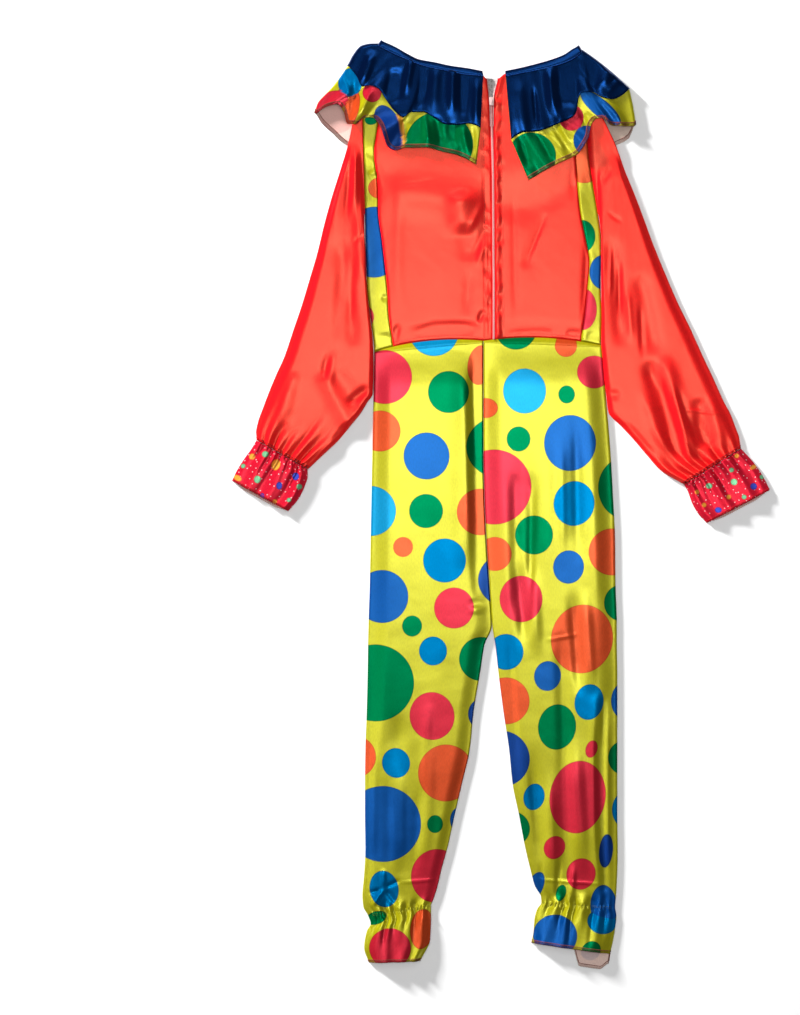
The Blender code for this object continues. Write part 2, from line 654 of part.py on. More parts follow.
def make_sheet(name, columns, rows, place, material):
    """Make a cloth piece from a grid: place(column, row, face) gives each point in millimetres.

    The grid is extruded once for the wall, so face is 0 on the inner face and 1 on the outer one.
    """
    bm = bmesh.new()
    bmesh.ops.create_grid(bm, x_segments=len(columns) - 1, y_segments=rows, size=1.0)
    bmesh.ops.triangulate(bm, faces=bm.faces[:], quad_method="FIXED")
    inner = set(bm.verts)
    bmesh.ops.extrude_face_region(bm, geom=bm.faces[:])
    for vertex in bm.verts:
        column = round((vertex.co.x + 1.0) / 2.0 * (len(columns) - 1))
        row = round((vertex.co.y + 1.0) / 2.0 * rows)
        face = 0 if vertex in inner else 1
        vertex.co = [value * MM for value in place(columns[column], row, face)]
    bmesh.ops.recalc_face_normals(bm, faces=bm.faces[:])
    if bm.calc_volume(signed=True) < 0.0:
        bmesh.ops.reverse_faces(bm, faces=bm.faces[:])
    return add_object(name, bm, material)


def shares(count):
    """Return evenly spaced shares from 0 to 1."""
    return [i / count for i in range(count + 1)]


def front_columns():
    """Return the front's columns, one of which ends at the trousers' centre seam."""
    left, right = seam_x("side_left", BODY["y"][0]), seam_x("side_right", BODY["y"][0])
    centre = (WAIST_CENTRE[0] - left) / (right - left)
    half = FRONT_COLUMNS // 2
    return (
        [centre * i / half for i in range(half)]
        + [blend(centre, 1.0, i / half) for i in range(half + 1)]
    )


def build_bodice(red, dotted):
    """Make the back panels, the side strips and the front."""
    for name, seams, inset, count, material in (
        ("strip_left", ("side_left", "strip_left"), (0.0, SEAM), STRIP_COLUMNS, dotted),
        ("back_left", ("strip_left", "zip_left"), (0.0, 0.0), PANEL_COLUMNS, red),
        ("back_right", ("zip_right", "strip_right"), (0.0, 0.0), PANEL_COLUMNS, red),
        ("strip_right", ("strip_right", "side_right"), (SEAM, 0.0), STRIP_COLUMNS, dotted),
    ):
        make_sheet(
            name, shares(count), BODY_ROWS,
            lambda column, row, face, seams=seams, inset=inset: panel_point(
                *seams, BACK_TOP, inset, column, row, face
            ),
            material,
        )
    make_sheet(
        "front", front_columns(), BODY_ROWS,
        lambda column, row, face: panel_point(
            "side_left", "side_right", FRONT_TOP, (0.0, 0.0), column, row, face
        ),
        red,
    )


def build_zip(tape, metal):
    """Make the closed zip with its open top ends, and the slider at the top of the closed stretch."""
    make_sheet("zip", shares(2), BODY_ROWS, zip_point, tape)
    x, y = SLIDER_AT
    base = lift(x, y) + CLOTH + body_gap(x, y) + ZIP_WALL + SEAM
    bm = bmesh.new()
    bmesh.ops.create_cube(bm, size=1.0)
    bmesh.ops.bevel(
        bm, geom=bm.edges[:], offset=SLIDER_ROUND / max(SLIDER_SIZE), offset_type="OFFSET",
        segments=2, profile=0.5, affect="EDGES", material=-1,
    )
    for vertex in bm.verts:
        wide, long, thick = (part * size for part, size in zip(vertex.co, SLIDER_SIZE))
        narrowing = 1.0 - 0.3 * smooth_step(0.5 - long / SLIDER_SIZE[1])
        place = (x + wide * narrowing, y + long, base + thick + SLIDER_SIZE[2] / 2)
        vertex.co = [value * MM for value in place]
    add_object("slider", bm, metal)


def build_limbs(red, dotted, print_red):
    """Make the sleeves, the wrist frills and the legs."""
    for side, sleeve, cuff, leg in (
        ("left", SLEEVE_LEFT, CUFF_LEFT, LEG_LEFT),
        ("right", SLEEVE_RIGHT, CUFF_RIGHT, LEG_RIGHT),
    ):
        make_sheet(
            "sleeve_" + side, tube_columns(14, 5), SLEEVE_LAST,
            lambda column, row, face, t=sleeve, s=side: sleeve_point(t, s, column, row, face), red,
        )
        make_sheet(
            "cuff_" + side, tube_columns(16, 6), CUFF_LAST,
            lambda column, row, face, t=cuff: cuff_point(t, column, row, face), print_red,
        )
        make_sheet(
            "leg_" + side, tube_columns(24, 6), LEG_LAST,
            lambda column, row, face, t=leg: leg_point(t, column, row, face), dotted,
        )


def build_collar(blue, dotted):
    """Make the two ruffles and the neck casing."""
    columns = collar_columns(back=22, front=10)
    step = 3
    make_sheet(
        "ruffle_dotted", columns, 2 * step,
        lambda column, row, face: ruffle_point(True, column, row, face, step), dotted,
    )
    make_sheet(
        "ruffle_blue", columns, step,
        lambda column, row, face: ruffle_point(False, column, row, face, step), blue,
    )
    make_sheet(
        "neck_binding", columns, 2,
        lambda column, row, face: binding_point(column, row, face, 2), blue,
    )


def main():
    """Clear the scene and build every piece."""
    for old in list(bpy.data.objects):
        bpy.data.objects.remove(old, do_unlink=True)
    red = make_material("red_satin", (0.72, 0.03, 0.03), 0.35)
    dotted = make_material("dotted_satin", (0.72, 0.70, 0.03), 0.35)
    blue = make_material("blue_satin", (0.004, 0.02, 0.16), 0.30)
    print_red = make_material("print_satin", (0.62, 0.02, 0.05), 0.35)
    tape = make_material("zip_tape", (0.78, 0.62, 0.60), 0.60)
    metal = make_material("slider_enamel", (0.80, 0.72, 0.72), 0.40)
    build_bodice(red, dotted)
    build_zip(tape, metal)
    build_limbs(red, dotted, print_red)
    build_collar(blue, dotted)


main()
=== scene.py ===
"""A child's clown jumpsuit laid flat with its back up: its satin, folds, print, zip and thread.

Each solid of the frame is replaced by a thin shell of cloth on the same form, built from the same
named sizes on a finer grid, with the folds, gathers, print and stitches that the solids leave out.
Lengths are in millimetres, +X across to the right, +Y up to the neck and +Z up from the table.
Prints and folds are placed on a laying-out grid: steps to the right and steps down the table.
"""

import logging
import math
from dataclasses import dataclass, field
from enum import Enum
from typing import Any, Callable, Sequence

import bmesh
import bpy
import numpy as np
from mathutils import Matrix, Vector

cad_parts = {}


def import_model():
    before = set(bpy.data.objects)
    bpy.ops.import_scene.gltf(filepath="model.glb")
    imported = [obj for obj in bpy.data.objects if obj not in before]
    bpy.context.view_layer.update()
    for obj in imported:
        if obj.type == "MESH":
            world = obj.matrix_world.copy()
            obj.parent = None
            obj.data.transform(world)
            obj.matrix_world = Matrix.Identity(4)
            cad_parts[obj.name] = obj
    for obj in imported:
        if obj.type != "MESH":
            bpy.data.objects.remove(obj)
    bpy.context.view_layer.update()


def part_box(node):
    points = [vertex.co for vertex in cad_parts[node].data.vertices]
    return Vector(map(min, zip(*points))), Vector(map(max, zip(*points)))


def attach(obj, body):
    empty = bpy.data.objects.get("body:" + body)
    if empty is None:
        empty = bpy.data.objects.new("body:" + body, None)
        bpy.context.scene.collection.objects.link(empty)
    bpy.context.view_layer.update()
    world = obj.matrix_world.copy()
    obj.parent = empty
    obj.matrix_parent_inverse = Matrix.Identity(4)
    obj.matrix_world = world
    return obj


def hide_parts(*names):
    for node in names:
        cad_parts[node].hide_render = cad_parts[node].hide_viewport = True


Array = np.ndarray
Table = dict[str, Array]
Tree = bpy.types.NodeTree
Socket = bpy.types.NodeSocket
Span = tuple[float, float]
Steps = tuple[int, int, int]
Layout = Callable[..., Any]

LOG = logging.getLogger("jumpsuit")

MM = 0.001
GRID_STEP = 1.15            # one step of the laying-out grid
GRID_ZERO = (501.0, 505.5)  # steps to the middle of the frame

CLOTH = 1.2          # wall that the frame gives one layer of satin
SHELL = 0.7          # wall of the cloth shells, which lie on the frame's outer faces
SEAM = 0.3           # gap between layers
EDGE_GAP = 0.4       # space left between the two layers where a piece turns or is seamed
SIDE_GAP = 0.3       # space between a sleeve and the body or leg beside it
BINDING_WALL = 1.8   # folded neck casing
ZIP_WALL = 1.4       # zip tape with its coil

RUFFLE_STACK = 2 * (CLOTH + SEAM)    # the collar's front half, which the bodice lies on
LIFT_FADE = 45.0                     # length over which the bodice comes down to the table
LIFT_SET_BACK = 10.0                 # the bodice is fully raised this far inside the collar's hem
BODY_STACK = CLOTH + EDGE_GAP + CLOTH + SEAM   # front, air, back and a gap: what the collar lies on
CORNER_SAG = 1.6                     # how far the collar sinks beyond the shoulders

LEG_LOFT = 2.6       # air in the flattened legs, sleeves, bodice and frills
SLEEVE_LOFT = 3.4
BODY_LOFT = 1.2
CUFF_LOFT = 2.2
LEAST_LOFT = 0.1          # air that is left in a trough
ELASTIC_SQUEEZE = 0.65    # share of the air that is gone at the ankle's elastic
WRIST_SQUEEZE = 0.35      # and at the wrist's seam
PRESS_FADE = 30.0         # length over which the cloth comes down to lie under the collar
CREASE_FADE = 0.35        # share of a crease's length over which it fades at each end
PLEAT_SPREAD = 0.9        # how much wider a pleat is where it has faded
UNDER_GATHER = 0.35       # share of the pleats' height that the side on the table has
UNDER_LIMIT = 0.8         # and the most that its pleats lift it
CUFF_UNDER_GATHER = 0.25  # the same share in the wrist frills

FAR_FROM_DOTS = 60.0      # what the distance to the nearest dot is at most
SHUFFLE_SHIFT = 9.0       # how far the dots lie moved on the side on the table, up or down
SHUFFLE_TURN = 2.1        # step from dot to dot in the wave that moves them, in radians
SHUFFLE_DYES = 2          # how far along the list of inks they move
LARGE_DOT_DYES = 6        # how many of the list's inks they use
POLYESTER_IOR = 1.57
NARROWEST = 0.0105        # least length that a sheet is declared with, in metres
TAPER_WIDTH = 3.2         # most width that it is worked out with, in mean widths


def table(names: str, *rows: tuple) -> Table:
    """Return the rows of a table as one array for each named column.

    Args:
        names: The columns' names, separated by spaces.
        *rows: One tuple of values for each row, which may leave out zeros at its end.

    Returns:
        The columns by name.
    """
    columns = names.split()
    filled = [row + (0.0,) * (len(columns) - len(row)) for row in rows]
    return dict(zip(columns, np.array(filled, dtype=float).T))


# Body: places of the seams across the back, from the shoulders down to the waist.
BODY = table(
    "y side_left strip_left zip_left zip_right strip_right side_right",
    (184, -146, -124, -10, -7, 92, 115), (197, -147.5, -126, -10, -7, 93, 115.5),
    (220, -150.5, -129, -10, -7, 96.5, 116), (253.5, -154, -131, -10, -7, 100, 114.5),
    (280, -155, -134, -10.2, -7.3, 102, 115), (305.5, -156, -137, -10.4, -7.5, 97.5, 115),
    (340, -156.6, -141.5, -10.5, -7.6, 91, 111), (369.5, -157.3, -142, -10.7, -7.8, 88, 106),
    (405.5, -158.2, -146, -11.6, -8.2, 85, 100.5), (443.5, -159.2, -141.5, -12.8, -8.4, 84, 97.5),
    (468, -159.9, -142.5, -14, -8, 81.5, 96), (490, -160.2, -144, -16.5, -3.5, 78, 94.5),
)

# Height of the shoulders and the back neckline, and of the front neckline, along the shoulders.
BACK_TOP = table(
    "x y",
    (-160.2, 479), (-144, 495), (-134, 520), (-128, 525), (-108, 516), (-76, 506.5), (-39.5, 500.5),
    (-24.5, 499), (-16.5, 491), (-3.5, 491), (4.5, 496.5), (45, 506), (72.5, 514.5), (78, 514.5),
    (96, 488),
)
FRONT_TOP = table(
    "x y",
    (-160.2, 479), (-144, 495), (-134, 519), (-128, 522), (-95.5, 506), (-56.5, 496), (-10.5, 488.5),
    (33.5, 497), (68, 509), (78, 513), (96, 488),
)
WAIST_LEFT = np.array((-146.0, 177.0))      # waist seam: its ends and the centre-back seam
WAIST_CENTRE = np.array((-20.3, 189.5))
WAIST_RIGHT = np.array((116.0, 184.0))
WAIST_BOW = 6.2                             # how far each half of the seam arches upwards
LOFT_LIMIT = table(   # above this line the collar presses the cloth flat
    "x y",
    (-230, 425), (-150, 415), (-130, 385), (-28, 365), (31, 345), (60, 360), (100, 395), (160, 415),
)

# Sleeves: a row for each section, from the armhole to the wrist. The inner edge is the underarm
# seam and the outer edge is where the flattened tube turns.
SLEEVE_LEFT = table(
    "inner_x inner_y outer_x outer_y",
    (-157, 336.5, -161, 475.5), (-157, 326, -168, 452.5), (-156.5, 307.5, -176, 415.5),
    (-155, 287, -185, 386), (-154.5, 264, -194.5, 356), (-152.8, 241, -203.5, 323.5),
    (-150, 215.5, -211.5, 290.5), (-147.3, 192.5, -220, 261.5), (-146.4, 171, -229, 231.5),
    (-146.5, 151, -239, 202), (-147.2, 129.5, -249.5, 171), (-154, 118, -259, 150),
    (-161, 106.5, -267.5, 129.5), (-171.5, 93.5, -273.5, 113.5), (-186.5, 75.5, -279.5, 97),
    (-206, 57, -282, 84.5), (-222, 42, -281, 75.5),
)
SLEEVE_RIGHT = table(
    "inner_x inner_y outer_x outer_y",
    (112, 336.5, 104.5, 470), (113.6, 326, 114, 452.5), (115.1, 307.5, 133.5, 411),
    (115.1, 287, 142.5, 386), (115, 264, 153, 360.5), (115.4, 238.5, 163.5, 333),
    (115.7, 213.5, 173.5, 305.5), (115.3, 188, 188.5, 268.5), (117.3, 165, 204.5, 231.5),
    (119, 144.5, 218.5, 203), (121.2, 126, 232.5, 172), (123.7, 107.5, 245, 145.5),
    (139, 90.5, 256.5, 120), (153, 75.5, 264.5, 105), (168, 58, 270, 90.5), (185, 39.5, 274.5, 77.5),
    (210.5, 24.5, 276, 66),
)
SLEEVE_LAST = len(SLEEVE_LEFT["inner_x"]) - 1
WRIST_GATHER_ROWS = 4      # sections over which the wrist gathers fade into the sleeve

# Wrist frills, from the gathering seam to the hem.
CUFF_LEFT = table(
    "inner_x inner_y outer_x outer_y",
    (-222.5, 41.5, -281.5, 75), (-222.5, 33, -287.5, 65), (-225.5, 23.5, -296.5, 52.5),
    (-232.5, 8.5, -305, 38.5), (-245, -6.5, -309.5, 28.5),
)
CUFF_RIGHT = table(
    "inner_x inner_y outer_x outer_y",
    (210.9, 24, 276.4, 65.5), (215.5, 15.5, 287.5, 53.5), (219.5, 4, 296.5, 42),
    (227.5, -10, 304, 29.5), (237, -20, 309.5, 18),
)
CUFF_LAST = len(CUFF_LEFT["inner_x"]) - 1

# Legs: a row for each section, from the waist past the crotch, the ankle elastic and its frill to
# the hem. The inner edge is the centre seam down to the crotch and the inside-leg seam below it.
# under_drop is how far the front layer hangs below the back one.
LEG_LEFT = table(
    "inner_x inner_y outer_x outer_y under_drop",
    (-20.5, 189.5, -146, 177), (-20.5, 153.5, -146.5, 146.5), (-20.5, 119, -147, 114.5),
    (-20.5, 67.5, -148, 65), (-19.5, 14.5, -149, 14.5), (-17, -39.5, -150, -39.5),
    (-13.5, -91.5, -151, -91.5), (-10.5, -136.5, -152.5, -137.5), (-19, -160.5, -153, -160.5),
    (-24.5, -195, -153.5, -195), (-31.5, -237.5, -154.5, -237.5), (-36, -281, -156, -281),
    (-45, -320.5, -156.5, -320.5), (-53.5, -357, -156.5, -357), (-61, -391.5, -156, -395),
    (-68.5, -419, -157.5, -425), (-73.5, -440, -159.5, -448), (-77.5, -452.5, -158.5, -461.5),
    (-80.5, -460.5, -153, -472), (-80.5, -467.5, -150, -481.5), (-80.5, -476.5, -154.5, -490.5),
    (-81.5, -499.5, -157.5, -509), (-93, -524, -152, -526),
)
LEG_RIGHT = table(
    "inner_x inner_y outer_x outer_y under_drop",
    (-20, 189.5, 116, 184), (-20, 153.5, 118.5, 153.5), (-20, 119, 121.5, 119), (-20, 67.5, 126, 64),
    (-19, 14.5, 129, 12), (-16.5, -39.5, 131.5, -39.5), (-13, -91.5, 132, -91.5),
    (-10, -136.5, 133.5, -134), (-6.5, -160.5, 133.5, -160.5), (-2.5, -195, 134, -195),
    (3, -237.5, 134, -237.5), (9.5, -281, 134, -281), (13.5, -320.5, 134, -320.5),
    (21, -357, 134, -357), (27.5, -391.5, 134.5, -395), (34, -419, 134, -421.5),
    (39, -437.5, 133, -442), (46, -450, 132, -455), (46.5, -457, 131.5, -463), (41.5, -465, 133, -473),
    (38.5, -476.5, 132, -482.5), (37.5, -490.5, 129.5, -499.5, 6), (35, -503, 125.5, -516, 19.6),
)
LEG_LAST = len(LEG_LEFT["inner_x"]) - 1
ELASTIC_ROW = 18
ELASTIC_REACH = 3.0        # sections over which the elastic's gathers fade into the leg

# Collar. share runs from the zip edge (0) round to the shoulder fold (1) on the back, and from the
# left fold (0) to the right fold (1) on the front.
BINDING_LEFT = table(
    "share edge_x edge_y foot_x foot_y",
    (0, -21.5, 499.5, -20.5, 494), (0.15, -39.5, 503, -39.5, 495.5), (0.32, -57.5, 505.5, -58, 499),
    (0.48, -76, 509.5, -76, 502.5), (0.64, -94.5, 513, -94, 507), (0.77, -108, 519.5, -108, 513),
    (0.88, -122, 527.5, -122, 519), (1, -135.5, 533.5, -138.5, 527.5),
)
BINDING_RIGHT = table(
    "share edge_x edge_y foot_x foot_y",
    (0, 4.5, 499.5, 5, 493.5), (0.24, 25.5, 504, 25.5, 497.5), (0.45, 45, 509, 45, 501.5),
    (0.6, 58.5, 513, 59, 505), (0.76, 72.5, 518.5, 73, 509.5), (0.88, 81.5, 524.5, 82.5, 514),
    (1, 87, 527.5, 90.5, 520),
)
BINDING_FRONT = table(
    "share edge_x edge_y foot_x foot_y",
    (0, -135.5, 533.5, -138.5, 527.5), (0.15, -122, 523, -122, 515.5), (0.3, -95.5, 508.5, -95.5, 501),
    (0.5, -56.5, 498.5, -56.5, 491.5), (0.62, -10.5, 491.5, -10.5, 484.5),
    (0.75, 33.5, 499.5, 33.5, 492.5), (0.88, 68, 512, 68, 504.5), (1, 87, 527.5, 90.5, 520),
)
BLUE_LEFT = table(      # hem of the blue ruffle
    "share x y",
    (0, -23.5, 434), (0.1, -37, 438.5), (0.2, -52, 437), (0.27, -63, 437.5), (0.35, -77, 445),
    (0.42, -89.5, 452), (0.5, -103.5, 451.5), (0.56, -112.5, 445.5), (0.62, -123, 453.5),
    (0.7, -133, 467.5), (0.76, -141, 478.5), (0.82, -150.5, 482), (0.88, -158.5, 480),
    (0.94, -164.5, 491.5), (1, -171, 500.5),
)
BLUE_RIGHT = table(
    "share x y",
    (0, 11.5, 420.5), (0.08, 18, 425), (0.16, 26.5, 428.5), (0.28, 41.5, 429.5), (0.38, 54, 433.5),
    (0.46, 64.5, 438), (0.54, 74, 442), (0.6, 83, 447), (0.65, 87, 455), (0.69, 88, 465),
    (0.73, 92.5, 474), (0.79, 103.5, 474.5), (0.85, 115.5, 468), (0.91, 127, 465), (0.96, 135.5, 468),
    (1, 142.5, 473.5),
)
BLUE_FRONT = table(
    "share x y",
    (0, -171, 500.5), (0.15, -145, 460.5), (0.3, -104.5, 434), (0.5, -58.5, 422.5), (0.62, -10.5, 418),
    (0.75, 45, 425), (0.88, 102.5, 448), (1, 142.5, 473.5),
)
DOTTED_LEFT = table(    # hem of the dotted ruffle
    "share x y",
    (0, -28.5, 392), (0.1, -48.5, 402), (0.2, -67, 406.5), (0.3, -87, 411), (0.4, -109, 411),
    (0.46, -122, 408), (0.5, -130, 412.5), (0.55, -135, 425), (0.6, -139.5, 437.5), (0.65, -148.5, 446),
    (0.7, -158.5, 445.5), (0.75, -168, 437.5), (0.79, -176.5, 438), (0.83, -181, 452.5),
    (0.88, -188.5, 461), (0.94, -201, 458.5), (1, -212.5, 450.5),
)
DOTTED_RIGHT = table(
    "share x y",
    (0, 31.5, 373.5), (0.12, 47, 383), (0.25, 64.5, 392.5), (0.36, 77, 398), (0.44, 87.5, 403.5),
    (0.5, 95.5, 414), (0.55, 100.5, 424), (0.6, 103, 436.5), (0.66, 110.5, 445), (0.72, 118.5, 445),
    (0.8, 127.5, 437), (0.88, 138.5, 436), (0.95, 147, 436), (1, 153, 436.5),
)
DOTTED_FRONT = table(
    "share x y",
    (0, -212.5, 450.5), (0.06, -205.5, 439.5), (0.12, -195, 430), (0.2, -182.5, 418.5),
    (0.3, -153, 405.5), (0.45, -81.5, 386), (0.6, -10.5, 379), (0.75, 56.5, 387), (0.88, 114, 405.5),
    (0.94, 133.5, 415.5), (0.97, 147, 422.5), (1, 153, 436.5),
)
FOLD_BELLY = table(     # how far the shoulder folds belly outwards from the neck (0) to the hem (2)
    "down left right",
    (0, 0), (0.2, 7.5, 1.8), (0.4, 11, 3.2), (0.7, 8.5, 4.5), (1, 4, 5), (1.4, 2.5, 4), (1.8, 4.5, 2),
    (2, 0),
)
CASING_PROFILE = table(      # the casing's rise over the cloth, from the neck edge to its foot
    "across rise",
    (0, 0.2), (0.03, 2), (0.1, 2.5), (0.2, 2.8), (0.35, 3.1), (0.5, 3.4), (0.65, 3.65), (0.8, 3.8),
    (0.9, 3.75), (0.96, 3.4), (1, 2.9),
)
CASING_OVERLAP = 0.2    # how much further than its foot the casing reaches, as a share of its width
CASING_EDGE = 0.25      # the casing's thickness at its edges, as a share of its wall
CASING_ROUND = 1.9      # how much it swells towards its middle
NECK_TUCK = 1.2         # how far the ruffles' neck edges lie under the casing
FOLD_BOW_POWER = 8      # how close to the fold the belly stays
# Flutes of the back half of the collar: where each crest lies, how wide it is as a share of the
# half collar, and how high it stands at the hem.
FLUTES_LEFT = table(
    "share width height",
    (0.03, 0.03, 1.6), (0.15, 0.04, 2.6), (0.31, 0.05, 4.4), (0.43, 0.03, 2.4), (0.56, 0.04, 7),
    (0.77, 0.04, 6.4), (0.91, 0.025, 2.4),
)
FLUTES_RIGHT = table(
    "share width height",
    (0.03, 0.04, 2.6), (0.17, 0.04, 3.2), (0.33, 0.045, 4.4), (0.49, 0.045, 6.4), (0.6, 0.03, 3),
    (0.76, 0.04, 5.4), (0.88, 0.03, 4),
)
NECK_SHARE = 0.06       # part of a flute's height that already stands at the neck seam
BLUE_FLUTE_SHARE = 0.25    # how much higher than the dotted ruffle the blue one stands in a flute
FLUTE_POWER = 1.9          # how late the flutes rise on the way from the neck to the hem
FLUTE_SPREAD = 1.35        # how much wider they are than the frame's
LOWEST_FLUTE = -0.3        # how deep the cloth sinks between them
COLLAR_CREASE_SHARE = 1.1  # how high the collar's creases stand for their table
# Folds pressed into the back of the garment: a line, its half width and its height above the loft.
FOLDS = table(
    "x0 y0 x1 y1 width height",
    (-168, 410, -161, 262, 6, 1.6), (-185, 300, -170, 190, 9, -1.6), (-190, 152, -156, 112, 9, -0.7),
    (-205, 150, -175, 92, 9, 1.8), (-238, 150, -250, 92, 7, 1.4), (127, 300, 138, 190, 8, -1.6),
    (160, 260, 176, 180, 9, -1.6), (170, 160, 205, 55, 8, -2.8), (188, 165, 222, 62, 8, 2.2),
    (226, 120, 240, 72, 8, -1.8), (-31, 182, -27, -100, 8, -1.8), (-48, 150, -46, -60, 10, 0.9),
    (-120, -250, -112, -420, 9, -1.4), (16, 30, 18, -120, 7, -1.2), (34, 30, 33, -125, 7, -1),
    (70, -155, 76, -430, 8, -1.5), (108, -225, 111, -440, 7, 1.3), (118, -225, 119, -440, 5, -2.2),
    (-41, 350, -40, 285, 10, -0.8), (-82, 205, -28, 203, 7, -0.8), (50, 334, 27, 276, 7, -0.7),
)

PINCH = 1.9                # how much sooner pleats fade above an ankle's elastic than below it
WRIST_PINCH = 1.3
FRILL_FLARE = 3.2          # how much further the frill's hem stands open than the elastic
FLAP_START = 0.54          # share of the leg's width where the front layer starts to hang lower

# Soft creases of the satin, on the laying-out grid: a line, its half width and height in
# millimetres (a trough is negative) and how far the line bows to its right.
BODICE_CREASES = table(
    "x0 y0 x1 y1 width height bow",
    (395, 185, 440, 178, 1.5, -0.5, 1.5), (489, 168, 484, 246, 9, -1), (484, 200, 466, 236, 3.4, 0.9),
    (488, 222, 470, 262, 3.6, -1), (486, 240, 476, 268, 2.6, 0.9), (478, 323, 484, 309, 2.6, -1.6),
    (404, 334, 484, 329, 6, -1.7, -3), (391, 347, 399, 322, 3.4, -1.6), (402, 160, 398, 320, 7, 0.7, 2),
    (470, 265, 466, 318, 6, -0.7), (547, 212, 524, 268, 1.8, -0.5), (550, 214, 528, 266, 2.2, 0.4),
    (565, 333, 584, 334, 3.2, -1.2), (513, 178, 516, 332, 4, -0.6), (589, 225, 584, 332, 4, -1.1),
    (578, 140, 572, 205, 5, -0.9), (500, 336, 560, 333, 4, -0.9, -1), (459, 186, 465, 238, 14.5, 4.1),
    (366, 188, 500, 199, 22, 3), (381, 299, 388, 296, 3, -1.2), (375, 338, 392, 336, 3, -1.3),
    (372, 348, 398, 343, 4, -3.5), (586, 336, 601, 340, 5, -1.3), (366, 150, 376, 158, 3, -1),
    (368, 176, 377, 170, 2.6, 0.9),
)
FACING_PUCKERS = table(     # the zip facing: puckers at uneven heights, from the zip outwards
    "y out tall wide height",
    (90, 4, 3, 3, 1), (97, 6, 2.4, 4, -0.9), (108, 3, 5, 2.4, 0.7), (113, 6.5, 2.6, 3, -0.8),
    (124, 4, 3.4, 4, 1.1), (131, 3, 2.4, 2.4, -0.8), (141, 5.5, 3, 2.6, 0.6), (150, 4, 4.6, 3.6, -1.1),
    (158, 6, 3.2, 4.6, 1.1), (171, 3.5, 2.8, 2.6, -0.7), (176, 6, 3, 3, 0.7), (189, 4, 3.6, 3.4, -1),
    (196, 3.5, 2.4, 2.4, 0.8), (210, 5, 5.4, 3.2, -0.8), (220, 4, 3, 3, 0.9), (233, 5, 3.4, 4, 1),
    (240, 3.5, 2.6, 2.8, -0.9), (255, 4.5, 4.8, 3.4, 0.8), (263, 3, 2.6, 2.4, -0.7),
    (279, 5, 4, 3.6, -0.9), (287, 4, 2.8, 2.8, 0.9), (303, 4.5, 3.6, 3.2, 1), (311, 3, 2.6, 2.4, -0.8),
    (325, 4.5, 4.4, 3.4, -0.9),
)
SLEEVE_CREASES = table(
    "x0 y0 x1 y1 width height bow",
    (353, 132, 345, 228, 3.4, -1.1), (363, 132, 358, 228, 3, -1), (358, 138, 351, 222, 3.2, 1),
    (340, 150, 333, 250, 6, 0.7), (353, 241, 364, 235, 1.6, -1), (353, 250, 350, 332, 4, -0.8),
    (341, 262, 336, 345, 6, -0.8), (328, 352, 323, 382, 4, -1.4), (334, 348, 329, 392, 4.5, 0.8),
    (372, 386, 346, 406, 5.5, -2.3, 1), (373, 394, 350, 420, 4, 0.9), (350, 420, 330, 446, 4, -1.4),
    (290, 380, 276, 425, 5, 0.9), (613, 166, 600, 184, 3, -1.4), (607, 213, 623, 222, 1.5, -0.9),
    (619, 255, 620, 322, 3, -1.2), (640, 300, 643, 362, 3, -1.1), (627, 285, 632, 345, 3.4, 0.9),
    (611, 240, 610, 300, 2.4, 0.8), (657, 366, 684, 464, 4.4, -2.2, 2), (670, 376, 692, 470, 3, 1.7),
    (673, 378, 702, 458, 4, -1.8), (640, 385, 668, 460, 6, 1.2), (693, 412, 707, 458, 6, -1.7),
    (708, 395, 724, 452, 6, 1.3), (638, 404, 736, 416, 1.3, 0.5), (604, 393, 622, 396, 5, -1.2),
    (727, 398, 739, 442, 3, -1.3), (622, 418, 660, 462, 3, -1.2),
)
COLLAR_CREASES = table(
    "x0 y0 x1 y1 width height bow",
    (453, 58, 452, 122, 5.5, 2.2), (465, 60, 463, 122, 4, -2.2), (437, 60, 433, 120, 6, 1.4),
    (426, 56, 419, 114, 5, -1.8), (413, 52, 404, 100, 4.5, 1.9), (395, 66, 391, 106, 7, -2.4),
    (374, 48, 360, 90, 5.5, 2), (477, 74, 475, 130, 4.5, 1.6), (516, 74, 522, 142, 10, 1.8),
    (533, 84, 537, 128, 2.4, -1.2), (549, 60, 553, 120, 5.5, 2.4), (571, 50, 566, 112, 10, -2.6),
    (589, 46, 594, 96, 4.5, -1.8), (614, 58, 600, 92, 6.5, 2.2), (624, 76, 604, 94, 3, 1.2),
    (400, 112, 408, 146, 4, -1.6), (426, 118, 430, 148, 4, 1.6), (450, 120, 456, 152, 5, -1.6),
    (520, 136, 530, 172, 4, -1.6), (548, 128, 566, 152, 3, 1.4), (536, 132, 552, 160, 3, -1.2),
    (424, 110, 427, 148, 3, 1.8), (436, 114, 441, 148, 4.5, -2), (462, 124, 468, 158, 3.6, 1.6),
    (472, 126, 474, 158, 3, -1.3), (513, 142, 522, 176, 3.6, 1.5), (556, 118, 572, 150, 3.4, 1.4),
    (578, 106, 592, 140, 3.4, -1.6), (596, 96, 622, 122, 3.4, 1.6), (340, 74, 352, 100, 3.2, 1.6),
    (356, 76, 350, 124, 3, -1.8), (372, 86, 360, 118, 3.4, 1.6),
)
